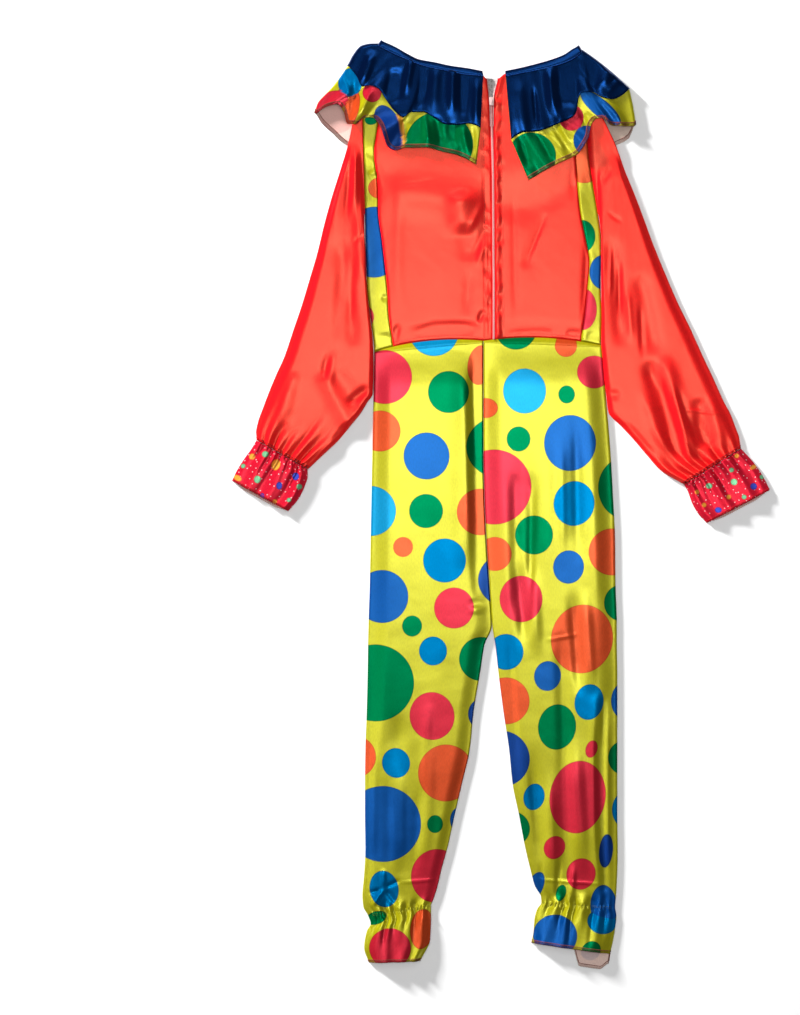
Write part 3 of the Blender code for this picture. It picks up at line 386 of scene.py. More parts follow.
LEG_CREASES = table(
    "x0 y0 x1 y1 width height bow",
    (474, 349, 479, 480, 4.6, -1.9), (462, 345, 471, 570, 6, 0.9), (466, 604, 491, 601, 2, -1.2),
    (468, 612, 490, 607, 2.2, 1), (470, 346, 481, 386, 2.4, -1.7), (477, 348, 484, 372, 2, 1.2),
    (438, 345, 472, 353, 3, -1.1), (377, 347, 397, 343, 2.2, -3.2), (398, 480, 392, 760, 13, 0.7, 3),
    (428, 460, 424, 720, 12, -0.6, -4), (452, 520, 446, 690, 10, 0.6), (386, 770, 390, 882, 6, -1.2),
    (401, 760, 403, 880, 6, 1.2), (418, 780, 413, 890, 5, -0.8), (433, 730, 424, 880, 6, 0.9),
    (520, 560, 524, 650, 6, -1.6), (531, 560, 537, 660, 7, 1.5), (572, 585, 580, 700, 7, -1.9),
    (584, 585, 592, 700, 7, 1.6), (572, 735, 584, 880, 10, 2.4), (531, 740, 541, 892, 8, -2.2),
    (549, 770, 553, 885, 6, 1.4), (545, 420, 549, 600, 11, 0.7), (524, 420, 522, 600, 10, -0.8),
    (592, 430, 595, 620, 10, 0.7), (396, 883, 442, 879, 1.3, 0.5), (374, 720, 371, 865, 6, 1.2),
    (384, 888, 371, 908, 2.6, 1.8), (384, 888, 399, 906, 2.6, -1.8), (384, 888, 383, 868, 2.6, 1.4),
    (384, 888, 401, 880, 2, -1.1), (367, 893, 383, 890, 2, -1.1), (507, 630, 517, 780, 4.2, -1.6),
    (597, 700, 600, 885, 4, -2.2), (607, 695, 608, 890, 3.4, 2), (576, 410, 578, 570, 6, -1.1),
    (561, 425, 563, 570, 5, 0.8), (533, 470, 530, 620, 4, -0.9), (578, 343, 604, 351, 2.4, -1.6),
    (584, 352, 604, 359, 2.2, 1.1), (543, 641, 584, 633, 1.3, 0.45), (528, 879, 612, 885, 1.3, 0.5),
    (560, 855, 556, 905, 3, -1.3), (574, 860, 571, 905, 3, 1.3), (540, 860, 541, 905, 2.6, -1),
    (398, 735, 395, 884, 9, 1.5), (378, 748, 377, 892, 5.5, -1), (428, 690, 424, 800, 6, 0.9),
)
# The side on the table: the cloth rises from it in a few long shallow creases.
UNDER_CREASES = table(
    "x0 y0 x1 y1 width height bow",
    (405, 420, 412, 600, 7, 0.7, 4), (440, 640, 425, 800, 6, 0.8, -3), (398, 700, 390, 860, 5, 0.6),
    (455, 360, 380, 400, 5, 0.6, 3), (560, 380, 548, 560, 8, 0.8, -4), (590, 560, 580, 720, 6, 0.7),
    (540, 690, 556, 860, 5, 0.8, 3), (520, 350, 590, 372, 4, 0.6), (420, 170, 436, 320, 8, 0.7, 5),
    (560, 180, 540, 310, 7, 0.7, -4), (490, 200, 486, 330, 6, 0.6), (400, 300, 460, 330, 4, 0.6, 3),
    (335, 230, 300, 380, 6, 0.8, 4), (355, 360, 320, 410, 4, 0.6), (290, 350, 275, 430, 5, 0.7),
    (640, 240, 680, 370, 6, 0.8, -4), (650, 380, 690, 460, 5, 0.7), (700, 380, 722, 440, 4, 0.6),
)

# Gathers: where each pleat lies across the flattened piece, its half width as a share of the
# piece, its height, and how far it reaches up and down from the gathering line.
ANKLE_PLEATS_LEFT = table(
    "share width height up down",
    (0.05, 0.02, -1.2, 14, 24), (0.14, 0.045, 1.9, 20, 40), (0.27, 0.022, -2.2, 14, 34),
    (0.35, 0.03, 1.2, 24, 22), (0.41, 0.018, -1.4, 12, 20), (0.5, 0.05, 2.6, 22, 44),
    (0.6, 0.018, -1.5, 14, 16), (0.66, 0.028, 2, 16, 30), (0.73, 0.024, -2.4, 20, 44),
    (0.82, 0.045, 1.8, 24, 34), (0.9, 0.018, -1.6, 14, 22), (0.95, 0.018, 1.4, 10, 16),
)
ANKLE_PLEATS_RIGHT = table(
    "share width height up down",
    (0.05, 0.018, 1.4, 18, 20), (0.12, 0.03, -1.5, 20, 34), (0.22, 0.04, 1.6, 14, 44),
    (0.31, 0.018, -1.7, 18, 24), (0.38, 0.026, 2, 24, 36), (0.45, 0.02, -2.1, 16, 40),
    (0.56, 0.055, 2.8, 22, 50), (0.67, 0.018, -1.4, 20, 16), (0.72, 0.026, -2.2, 14, 44),
    (0.79, 0.03, 1.8, 24, 22), (0.87, 0.024, -1.9, 30, 30), (0.94, 0.026, 2, 26, 26),
)
WRIST_PLEATS_LEFT = table(
    "share width height up down",
    (0.06, 0.022, -1.4, 18, 14), (0.13, 0.024, 1.5, 34, 22), (0.21, 0.022, -1.8, 26, 30),
    (0.3, 0.03, 1.4, 44, 16), (0.38, 0.02, -1.6, 52, 20), (0.47, 0.026, 1.6, 30, 34),
    (0.55, 0.022, -1.3, 38, 26), (0.63, 0.026, 1.5, 24, 18), (0.71, 0.022, -1.7, 44, 32),
    (0.8, 0.026, 1.6, 50, 22), (0.88, 0.022, -1.6, 60, 14), (0.95, 0.02, 1.2, 20, 12),
)
WRIST_PLEATS_RIGHT = table(
    "share width height up down",
    (0.06, 0.022, 1.3, 20, 12), (0.14, 0.026, -1.7, 30, 28), (0.23, 0.024, 1.6, 60, 18),
    (0.32, 0.022, -2, 64, 40), (0.4, 0.026, 1.9, 48, 20), (0.48, 0.022, -1.8, 36, 34),
    (0.57, 0.03, 1.8, 26, 44), (0.66, 0.026, -2, 54, 22), (0.75, 0.028, 1.6, 34, 16),
    (0.83, 0.024, -1.5, 24, 20), (0.92, 0.024, 1.4, 40, 12),
)
CUFF_PLEATS = table(     # the frills' own pleats, which open towards the hem
    "share width height up down",
    (0.1, 0.03, 0.9, 4, 60), (0.24, 0.024, -1.2, 4, 50), (0.41, 0.034, 1.3, 4, 70),
    (0.58, 0.026, -1, 4, 60), (0.74, 0.036, 1.2, 4, 80), (0.9, 0.024, -1, 4, 40),
)

# The print: each dot's middle and size on the laying-out grid, how far it is turned, and its dye.
RED_DOT, ORANGE_DOT, GREEN_DOT, BLUE_DOT, AZURE_DOT, CYAN_DOT, NAVY_DOT, GOLD_DOT = range(8)
AMBER_DOT, MINT_DOT, VIOLET_DOT = range(8, 11)
LEG_LEFT_DOTS = table(
    "x y wide high turn dye",
    (385, 377, 54, 54, 0, RED_DOT), (434, 331, 50, 50, 0, CYAN_DOT), (448.5, 392, 41, 42, 0, GREEN_DOT),
    (480, 365, 25, 40, -8, ORANGE_DOT), (380, 431, 41, 41, 0, ORANGE_DOT),
    (426.5, 456, 46, 47, 0, BLUE_DOT), (501, 447, 70, 62, 0, GREEN_DOT),
    (371, 511, 50, 50, 0, CYAN_DOT), (426, 511, 34, 34, 0, GREEN_DOT),
    (480, 512, 46.5, 46.5, 0, ORANGE_DOT), (403, 547, 20, 20, 0, ORANGE_DOT),
    (444.5, 560.5, 43, 44, 0, AZURE_DOT), (511, 580, 66, 56, 0, NAVY_DOT),
    (382, 596.5, 52.6, 53, 0, BLUE_DOT), (454, 608, 40, 41, 0, RED_DOT),
    (412, 626, 20, 21, 0, GREEN_DOT), (433, 651, 28, 29, 0, AZURE_DOT),
    (481, 659, 44, 44, 0, GREEN_DOT), (375.5, 683, 77, 77, 0, GREEN_DOT),
    (432, 716, 45, 48, 10, RED_DOT), (483, 714, 30, 32, 0, NAVY_DOT), (355, 757, 42, 42, 0, ORANGE_DOT),
    (396, 763, 28, 30, 20, AZURE_DOT), (446, 773, 56, 57, 0, ORANGE_DOT),
    (383, 824, 76, 76, 0, BLUE_DOT), (435, 824, 16, 18, 0, GREEN_DOT), (460, 820, 20, 26, 0, BLUE_DOT),
    (436, 876, 50, 54, -10, RED_DOT), (384, 889, 29, 37, 10, AZURE_DOT),
    (376, 918, 22, 13, 20, GREEN_DOT), (390, 948, 42, 40, 0, RED_DOT),
    (422, 929, 24, 40, -6, ORANGE_DOT),
)
LEG_RIGHT_DOTS = table(
    "x y wide high turn dye",
    (516, 328.5, 42, 42, 0, GREEN_DOT), (566, 345, 22.6, 24, 0, ORANGE_DOT),
    (594, 372, 34, 33, 0, RED_DOT), (524.5, 391, 43, 45, 0, CYAN_DOT),
    (566.6, 394.5, 16.6, 18, 0, GREEN_DOT), (486, 408, 24, 20, 0, ORANGE_DOT),
    (570, 443, 52, 56, -6, BLUE_DOT), (518.5, 439, 24, 25, 0, GREEN_DOT),
    (494, 487, 75, 75, 0, RED_DOT), (574, 503.5, 41, 45, -10, AZURE_DOT),
    (626, 488, 56, 62, 0, GREEN_DOT), (534, 535, 38, 39, 0, GREEN_DOT),
    (612, 552, 47, 47, 0, ORANGE_DOT), (495, 554, 33.5, 34, 0, ORANGE_DOT),
    (568.5, 567, 31, 33.5, -10, BLUE_DOT), (521, 599, 43, 46.5, 0, RED_DOT),
    (621, 603, 34, 36, 0, GREEN_DOT), (582, 639, 62, 69, -12, ORANGE_DOT),
    (506, 652, 35, 36, 0, AZURE_DOT), (547.5, 676, 27, 30, -12, BLUE_DOT),
    (589, 702, 29, 36, -12, AZURE_DOT), (506, 701, 47, 47, 0, ORANGE_DOT),
    (557, 727, 38, 45.5, -8, GREEN_DOT), (591.5, 749, 12, 18, -18, RED_DOT),
    (502, 759, 55.5, 56, 0, NAVY_DOT), (626, 701, 30, 38, 0, BLUE_DOT),
    (624, 758, 32, 34, 0, GREEN_DOT), (577.6, 797, 56, 73, -10, RED_DOT),
    (534, 797, 21, 27, -14, AZURE_DOT), (512, 829, 36, 35, 0, GREEN_DOT),
    (626, 810, 28, 36, 0, AZURE_DOT), (606, 851, 14, 34, -6, NAVY_DOT),
    (554.5, 847.5, 21, 24, -30, RED_DOT), (581, 874, 29, 32, -20, RED_DOT),
    (535, 887, 16, 32, -24, BLUE_DOT), (561, 893, 10, 17, -16, GREEN_DOT),
    (604, 907, 27, 44, 4, BLUE_DOT), (555, 935.5, 44, 42, 0, BLUE_DOT),
    (602, 922, 30, 24, -14, AZURE_DOT), (591, 950, 20, 18, 30, GREEN_DOT),
)
STRIP_DOTS = table(
    "x y wide high turn dye",
    (371, 120, 13, 10, 0, GREEN_DOT), (379, 188, 22, 21, 0, ORANGE_DOT),
    (374, 242, 60, 71, 0, BLUE_DOT), (363, 317, 22, 25, 0, RED_DOT), (584, 158, 44, 50, 0, ORANGE_DOT),
    (583, 236, 25, 32, 0, GREEN_DOT), (604, 272, 29, 35, 0, BLUE_DOT), (583, 309, 28, 42, 0, RED_DOT),
)
RUFFLE_DOTS = table(
    "x y wide high turn dye",
    (350, 83, 24, 29, 0, AZURE_DOT), (329, 103, 40, 22, 20, RED_DOT),
    (352, 110, 14, 38, -14, ORANGE_DOT), (372, 93, 19, 20, 0, RED_DOT),
    (389, 129, 26, 50, 22, NAVY_DOT), (401, 130, 7, 44, 6, GOLD_DOT), (439, 145, 68, 66, 0, GREEN_DOT),
    (532, 156, 48, 46, -24, GREEN_DOT), (571, 118, 25, 27, 0, RED_DOT), (586, 141, 26, 30, 0, BLUE_DOT),
    (600, 108, 52, 17, -40, BLUE_DOT), (338, 150, 26, 28, 0, BLUE_DOT), (420, 86, 40, 40, 0, RED_DOT),
    (470, 90, 30, 30, 0, ORANGE_DOT), (540, 92, 36, 36, 0, AZURE_DOT),
)
FRONT_RUFFLE_DOTS = table(
    "x y wide high turn dye",
    (336, 118, 36, 30, 0, RED_DOT), (375, 128, 30, 30, 0, AZURE_DOT), (418, 138, 44, 44, 0, GREEN_DOT),
    (462, 152, 28, 30, 0, ORANGE_DOT), (500, 142, 38, 38, 0, BLUE_DOT), (545, 140, 32, 32, 0, RED_DOT),
    (582, 128, 36, 36, 0, CYAN_DOT), (618, 126, 30, 28, 0, GREEN_DOT),
)
CUFF_DOTS = table(
    "x y wide high turn dye",
    (252, 456.6, 6.5, 6.5, 0, AMBER_DOT), (265.3, 454.2, 7, 6.5, 0, MINT_DOT),
    (275.9, 464.8, 9, 11.5, -20, AMBER_DOT), (295.6, 476.4, 7, 8, 0, VIOLET_DOT),
    (257.4, 479.4, 7, 8, 0, MINT_DOT), (279.2, 485.7, 6, 8, 0, VIOLET_DOT),
    (237.4, 478, 9, 6, -30, AMBER_DOT), (299.2, 486.7, 6, 6, 0, MINT_DOT),
    (274.7, 501.5, 5, 5, 0, AMBER_DOT), (262, 496, 5, 6, 0, VIOLET_DOT), (289, 500, 5, 5, 0, MINT_DOT),
    (243, 466, 5, 5, 0, MINT_DOT), (753.6, 486.4, 7, 7, 0, VIOLET_DOT),
    (718.3, 510, 7, 6, 0, VIOLET_DOT), (734, 482, 7, 7, 0, MINT_DOT), (709, 485.9, 7, 6, 0, MINT_DOT),
    (731.4, 470, 5, 5, 0, MINT_DOT), (728.7, 497, 5, 5, 0, AMBER_DOT),
    (736.6, 455.8, 5, 5, 0, AMBER_DOT), (753.6, 467, 8, 4.5, 30, AMBER_DOT),
    (704, 505, 5, 5, 0, AMBER_DOT), (744, 497, 5, 5, 0, MINT_DOT), (697, 492, 5, 5, 0, AMBER_DOT),
    (762, 477, 5, 5, 0, MINT_DOT),
)


def ease(value: Array) -> Array:
    """Ease from 0 to 1 as the value goes from 0 to 1."""
    clamped = np.clip(value, 0.0, 1.0)
    return clamped * clamped * (3.0 - 2.0 * clamped)


def blend(start: Any, end: Any, share: Any) -> Any:
    """Return what lies a share of the way from start to end."""
    return start + (end - start) * share


def bell(distance: Array, width: Any) -> Array:
    """Return a soft bump that is 1 at no distance and fades over its half width."""
    return np.exp(-((distance / width) ** 2))


def read(named: Table, column: str, at: Array, key: str = "share") -> Array:
    """Read a table's column at values of its key column, along one smooth curve.

    Args:
        named: The table.
        column: The column to read.
        at: The values of the key column.
        key: The key column, which rises from row to row.

    Returns:
        The column's values there. The curve has no bump that the rows don't have.
    """
    x, y = named[key], named[column]
    step = np.diff(x)
    slope = np.diff(y) / step
    both = slope[:-1] * slope[1:]
    middle = np.where(both > 0.0, 2.0 * both / np.where(both > 0.0, slope[:-1] + slope[1:], 1.0), 0.0)
    tangent = np.concatenate(([slope[0]], middle, [slope[-1]]))
    at = np.clip(at, x[0], x[-1])
    i = np.clip(np.searchsorted(x, at, side="right") - 1, 0, len(step) - 1)
    t = (at - x[i]) / step[i]
    rise = y[i + 1] - y[i]
    leaving, arriving = tangent[i] * step[i] - rise, tangent[i + 1] * step[i] - rise
    return y[i] + rise * t + t * (1.0 - t) * ((1.0 - t) * leaving - t * arriving)


def grid_x(steps: Array) -> Array:
    """Turn steps to the right on the laying-out grid into millimetres."""
    return (steps - GRID_ZERO[0]) * GRID_STEP


def grid_y(steps: Array) -> Array:
    """Turn steps down the laying-out grid into millimetres."""
    return (GRID_ZERO[1] - steps) * GRID_STEP


def crease_height(creases: Table, x: Array, y: Array) -> Array:
    """Return the height that a table of creases adds at points on the table."""
    total = np.zeros(np.broadcast(x, y).shape)
    for x0, y0, x1, y1, width, height, bow in zip(*creases.values()):
        start_x, start_y = grid_x(x0), grid_y(y0)
        run_x, run_y = grid_x(x1) - start_x, grid_y(y1) - start_y
        length = math.hypot(run_x, run_y)
        share = ((x - start_x) * run_x + (y - start_y) * run_y) / length**2
        across = ((x - start_x) * run_y - (y - start_y) * run_x) / length
        across = across - bow * 4.0 * share * (1.0 - share)
        ends = ease(share / CREASE_FADE) * ease((1.0 - share) / CREASE_FADE)
        total += height * ends * bell(across, width)
    return total


def fold_height(x: Array, y: Array) -> Array:
    """Return the height that the frame's own pressed folds add at points on the table."""
    total = np.zeros(np.broadcast(x, y).shape)
    for x0, y0, x1, y1, width, height in zip(*FOLDS.values()):
        run_x, run_y = x1 - x0, y1 - y0
        share = ((x - x0) * run_x + (y - y0) * run_y) / (run_x**2 + run_y**2)
        held = np.clip(share, 0.0, 1.0)
        distance = np.hypot(x - x0 - run_x * held, y - y0 - run_y * held)
        total += height * ease(4.0 * np.minimum(share, 1.0 - share) + 0.5) * bell(distance, width)
    return total


def seam_x(column: str, y: Array) -> Array:
    """Return where one of the body's seams lies at a height on the back."""
    return read(BODY, column, np.asarray(y, dtype=float), key="y")


def waist_y(x: Array) -> Array:
    """Return the height of the waist seam, two shallow arches that meet at the centre back."""
    left = x < WAIST_CENTRE[0]
    start_x, start_y = (np.where(left, *pair) for pair in zip(WAIST_LEFT, WAIST_CENTRE))
    end_x, end_y = (np.where(left, *pair) for pair in zip(WAIST_CENTRE, WAIST_RIGHT))
    share = (x - start_x) / (end_x - start_x)
    return blend(start_y, end_y, share) + 4.0 * WAIST_BOW * np.maximum(share * (1.0 - share), 0.0)


def lift(x: Array, y: Array) -> Array:
    """Return how far the collar's front half raises the cloth above the table."""
    inside = y - np.interp(x, DOTTED_FRONT["x"], DOTTED_FRONT["y"]) + LIFT_FADE
    return RUFFLE_STACK * ease(inside / (LIFT_FADE + LIFT_SET_BACK))


def edge_fade(across: Array, start: float = 0.14, end: float | None = None) -> Array:
    """Return 0 at both edges of a piece and 1 away from them.

    Args:
        across: Places across the piece, 0 at its first edge and 1 at its last.
        start: The share of the piece over which the first edge fades.
        end: The same for the last edge, where it differs.

    Returns:
        The fade at each place.
    """
    return ease(across / start) * ease((1.0 - across) / (end or start))


def air(x: Array, y: Array, loft: Array, edge: Array) -> Array:
    """Return the space between two layers, which closes at edges and under the collar."""
    pressed = ease((read(LOFT_LIMIT, "y", x, key="x") - y) / PRESS_FADE)
    return EDGE_GAP + np.maximum(loft + fold_height(x, y), 0.0) * edge * pressed


def gather_height(pleats: Table, share: Array, above: Array) -> Array:
    """Return the height of pleats that fan out from a gathering line.

    Args:
        pleats: The pleats' table.
        share: Places across the piece.
        above: Millimetres above the gathering line; below it they are negative.

    Returns:
        The height that the pleats add.
    """
    total = np.zeros(np.broadcast(share, above).shape)
    for middle, width, height, up, down in zip(*pleats.values()):
        away = np.where(above > 0.0, above / up, -above / down)
        spread = width * (1.0 + PLEAT_SPREAD * np.minimum(away, 2.0))
        total += height * bell(share - middle, spread) * bell(away, 1.0)
    return total


@dataclass(frozen=True)
class Waves:
    """Even waves across the back layer: how many, their height, and the angle they start at."""

    count: float
    height: float
    start: float = 0.0

    def rise(self, share: Array) -> Array:
        """Return the waves' height at places across the piece."""
        return self.height * np.sin(2.0 * math.pi * self.count * share + self.start)


@dataclass(frozen=True)
class Puckers:
    """Small puckers that stitches draw up along a line, in millimetres.

    Two slow waves of unlike length make their spacing and their height uneven.
    """

    length: float           # the line's length across the laid piece
    spacing: float
    height: float
    reach: float            # how far they fade away from the line
    start: float = 0.0

    def rise(self, share: Array, away: Array) -> Array:
        """Return the puckers' height at places across the piece and away from the line."""
        across = self.length * share + self.start
        drift = across + 0.22 * self.spacing * np.sin(across / (0.83 * self.spacing) + 1.0)
        swell = 0.65 + 0.35 * np.sin(across / (2.3 * self.spacing) + 0.7)
        wave = np.sin(2.0 * math.pi * drift / self.spacing)
        return self.height * swell * wave * bell(away, self.reach)


ANKLE_WAVES = Waves(3.0, 1.2, 0.6)
WRIST_WAVES = Waves(4.0, 0.52)
CUFF_WAVES = Waves(3.0, 0.68, 0.9)
ANKLE_PUCKERS = Puckers(82.0, 4.4, 1.9, 3.6)
WRIST_PUCKERS = Puckers(68.0, 4.6, 1.9, 3.8)
CUFF_PUCKERS = Puckers(68.0, 4.6, 1.7, 3.8, 2.0)


def linear(colour: str) -> tuple[float, float, float, float]:
    """Turn an sRGB hex colour into linear light, opaque."""
    parts = [int(colour[i : i + 2], 16) / 255.0 for i in (1, 3, 5)]
    light = [p / 12.92 if p <= 0.04045 else ((p + 0.055) / 1.055) ** 2.4 for p in parts]
    return light[0], light[1], light[2], 1.0


class Side(Enum):
    """The wearer's side as it lies on the table, back up."""

    LEFT = "left"
    RIGHT = "right"

    @property
    def away(self) -> float:
        """Return the direction away from the body along X."""
        return -1.0 if self is Side.LEFT else 1.0


DYES = (   # the prints' inks, in the order of the dots' numbers
    "#B61A2C", "#C2421A", "#005E2C", "#023F86", "#005A92", "#037CAC", "#042C74", "#C88420",
    "#F0A03C", "#74B888", "#3A46B4",
)


@dataclass(frozen=True)
class Print:
    """Round dots of one print, seen flat on the cloth.

    The distance to the nearest dot's edge and that dot's dye are kept at every point of the
    cloth, so the edge stays sharp in the finish however coarse the cloth's grid is.
    """

    dots: Table
    shuffle: bool = False       # the side on the table: other dyes and slightly other places

    def field(self, x: Array, y: Array) -> tuple[Array, Array]:
        """Return the distance to the nearest dot's edge, inside it negative, and its dye."""
        nearest = np.full(x.shape, FAR_FROM_DOTS)
        dye = np.zeros(x.shape, dtype=int)
        for index, (cx, cy, wide, high, turn, number) in enumerate(zip(*self.dots.values())):
            dx, dy = x - grid_x(cx), y - grid_y(cy)
            if self.shuffle:
                dy = dy + SHUFFLE_SHIFT * math.sin(SHUFFLE_TURN * index)
                number = (number + SHUFFLE_DYES) % LARGE_DOT_DYES
            angle = math.radians(turn)
            along = dx * math.cos(angle) + dy * math.sin(angle)
            over = dy * math.cos(angle) - dx * math.sin(angle)
            half = wide * GRID_STEP / 2.0, high * GRID_STEP / 2.0
            distance = (np.hypot(along / half[0], over / half[1]) - 1.0) * min(half)
            closer = distance < nearest
            nearest = np.where(closer, distance, nearest)
            dye = np.where(closer, int(number), dye)
        return nearest, dye


def add_node(tree: Tree, kind: str, inputs: dict[Any, Any], **settings: Any) -> bpy.types.Node:
    """Add a node with its settings and links.

    Args:
        tree: The material's node tree.
        kind: The node's type.
        inputs: What each input takes: a value, or another node's output.
        **settings: The node's own properties.

    Returns:
        The new node.
    """
    made = tree.nodes.new(kind)
    for name, value in settings.items():
        setattr(made, name, value)
    for name, value in inputs.items():
        if isinstance(value, Socket):
            tree.links.new(value, made.inputs[name])
        else:
            made.inputs[name].default_value = value
    return made


def uv_place(tree: Tree) -> Socket:
    """Return the place on the flat cloth, in metres."""
    return add_node(tree, "ShaderNodeUVMap", {}, uv_map="UVMap").outputs["UV"]


def object_place(tree: Tree) -> Socket:
    """Return the place in the garment's frame, in metres."""
    return add_node(tree, "ShaderNodeTexCoord", {}).outputs["Object"]


def noise(tree: Tree, place: Socket, size: float, detail: float = 2.0) -> Socket:
    """Return noise whose patches are about so large, in the place's own unit."""
    inputs = {"Vector": place, "Scale": 1.0 / size, "Detail": detail}
    return add_node(tree, "ShaderNodeTexNoise", inputs).outputs["Fac"]


def thread_noise(tree: Tree, place: Socket, wide: float, long: float) -> Socket:
    """Return noise that is drawn out to a thread's width and length, in metres."""
    inputs = {"Vector": place, "Scale": (1.0 / wide, 1.0 / long, 1.0)}
    return noise(tree, add_node(tree, "ShaderNodeMapping", inputs).outputs["Vector"], 1.0)


def ranged(tree: Tree, value: Socket, source: Span, target: Span) -> Socket:
    """Return a value carried from one span to another, and held at the ends."""
    inputs = {
        "Value": value, "From Min": source[0], "From Max": source[1],
        "To Min": target[0], "To Max": target[1],
    }
    return add_node(tree, "ShaderNodeMapRange", inputs).outputs["Result"]


def mixed(tree: Tree, share: Any, first: Any, second: Any, how: str = "MIX") -> Socket:
    """Return the first colour with a share of the second laid over it."""
    return add_node(
        tree, "ShaderNodeMix", {0: share, 6: first, 7: second}, data_type="RGBA", blend_type=how
    ).outputs[2]


def toned(tree: Tree, colour: Socket, value: Socket) -> Socket:
    """Return a colour made darker or lighter by a value."""
    return add_node(tree, "ShaderNodeHueSaturation", {"Color": colour, "Value": value}).outputs["Color"]


def figured(tree: Tree, how: str, *values: Any) -> Socket:
    """Return what a sum of one or two values comes to."""
    return add_node(tree, "ShaderNodeMath", dict(enumerate(values)), operation=how).outputs["Value"]


def bumped(tree: Tree, height: Socket, strength: float, depth: float, **under: Socket) -> Socket:
    """Return a surface's direction where a relief so deep, in metres, stands on it."""
    inputs = {"Height": height, "Strength": strength, "Distance": depth, **under}
    return add_node(tree, "ShaderNodeBump", inputs).outputs["Normal"]


def blank_material(name: str, **levels: float) -> tuple[bpy.types.Material, Tree]:
    """Make a material with the shader's own levels set.

    Args:
        name: The material's name.
        **levels: Values of the shader's sockets; an underscore stands for a space.

    Returns:
        The material and its node tree.
    """
    material = bpy.data.materials.new(name)
    material.use_nodes = True
    sockets = material.node_tree.nodes["Principled BSDF"].inputs
    for level, value in levels.items():
        sockets[level.replace("_", " ")].default_value = value
    return material, material.node_tree


def drive(tree: Tree, **sources: Socket) -> None:
    """Link sources to the shader's sockets; an underscore stands for a space."""
    for name, source in sources.items():
        tree.links.new(source, tree.nodes["Principled BSDF"].inputs[name.replace("_", " ")])


class Ground(Enum):
    """What a satin carries over its dyed ground."""

    PLAIN = "plain"
    DOTS = "dots"
    CONFETTI = "confetti"


@dataclass(frozen=True)
class Satin:
    """Dyed polyester satin: long floats along the grain give it a soft coloured lustre.

    The real thread spacing is about 0.2 mm. It is drawn six times as coarse, so that its grain
    shows. The lustre is the dye's own lighter tint, because light goes through the floats.
    """

    name: str
    colour: str
    lustre: str
    ground: Ground = Ground.PLAIN
    roughness: float = 0.37
    gloss: float = 0.5
    dyed_lustre: float = 0.5
    ior: float = POLYESTER_IOR        # the floats of a bright print mirror more

    def make(self) -> bpy.types.Material:
        """Build the satin's material: grain, and patches 35 mm wide that are pressed smoother."""
        lustre = linear(self.lustre)
        material, tree = blank_material(
            self.name, IOR=self.ior, Metallic=self.dyed_lustre, Specular_IOR_Level=self.gloss,
            Specular_Tint=lustre, Sheen_Weight=0.02, Sheen_Roughness=0.35, Sheen_Tint=lustre,
        )
        place = uv_place(tree)
        grain = thread_noise(tree, place, 0.0013, 0.004)
        patches = noise(tree, place, 0.035)
        colour, tint = self.dyed(tree, place)
        rough = ranged(tree, patches, (0.0, 1.0), (self.roughness - 0.01, self.roughness + 0.03))
        ripple = bumped(tree, patches, 0.2, 0.0022)
        drive(
            tree,
            Base_Color=toned(tree, colour, ranged(tree, grain, (0.3, 0.7), (0.91, 1.09))),
            Roughness=rough,
            Normal=bumped(tree, grain, 0.12, 0.0001, Normal=ripple),
        )
        if tint is not None:
            drive(tree, Specular_Tint=tint)
        return material

    def dyed(self, tree: Tree, place: Socket) -> tuple[Socket, Socket | None]:
        """Return the satin's colour, and its lustre where that changes from dot to dot."""
        ground = add_node(tree, "ShaderNodeRGB", {}).outputs["Color"]
        ground.default_value = linear(self.colour)
        if self.ground is Ground.PLAIN:
            return ground, None
        ink, edge = printed_ink(tree)
        overlap = mixed(tree, 0.6, ink, ground, "MULTIPLY")     # ink over the ground's dye: a darker rim
        dot = mixed(tree, ranged(tree, edge, (-1.0, -0.4), (0.0, 1.0)), ink, overlap)
        bare = ranged(tree, edge, (-0.3, 0.3), (0.0, 1.0))
        if self.ground is Ground.CONFETTI:
            ground = self.speckled(tree, ground, place)
        tint = add_node(tree, "ShaderNodeGamma", {"Color": ink, "Gamma": 0.29}).outputs["Color"]
        return mixed(tree, bare, dot, ground), mixed(tree, bare, tint, linear(self.lustre))

    def speckled(self, tree: Tree, ground: Socket, place: Socket) -> Socket:
        """Return the ground with fine white specks about 7 mm apart and 2 mm wide."""
        inputs = {"Vector": place, "Scale": 1.0 / 0.0075, "Randomness": 0.8}
        cells = add_node(tree, "ShaderNodeTexVoronoi", inputs, voronoi_dimensions="2D")
        speck = ranged(tree, cells.outputs["Distance"], (0.05, 0.11), (0.8, 0.0))
        return mixed(tree, speck, ground, linear("#FFD9DC"))


def printed_ink(tree: Tree) -> tuple[Socket, Socket]:
    """Return the nearest dot's ink, and the distance to its edge in millimetres."""
    ink = add_node(tree, "ShaderNodeAttribute", {}, attribute_name="dot_dye")
    edge = add_node(tree, "ShaderNodeAttribute", {}, attribute_name="dot_edge")
    return ink.outputs["Color"], edge.outputs["Fac"]


@dataclass(frozen=True)
class WrongSide:
    """The satin's dull wrong side, where the print shows through as a pale ghost."""

    name: str
    colour: str
    ghost: float = 0.25

    def make(self) -> bpy.types.Material:
        """Build the wrong side's material: a twill about 1 mm wide."""
        material, tree = blank_material(self.name, Roughness=0.75, IOR=POLYESTER_IOR)
        weave = thread_noise(tree, uv_place(tree), 0.0011, 0.0011)
        ink, edge = printed_ink(tree)
        shown = ranged(tree, edge, (-0.8, 0.8), (self.ghost, 0.0))
        colour = mixed(tree, shown, linear(self.colour), ink)
        drive(
            tree,
            Base_Color=toned(tree, colour, ranged(tree, weave, (0.3, 0.7), (0.9, 1.06))),
            Normal=bumped(tree, weave, 0.4, 0.0002),
        )
        return material


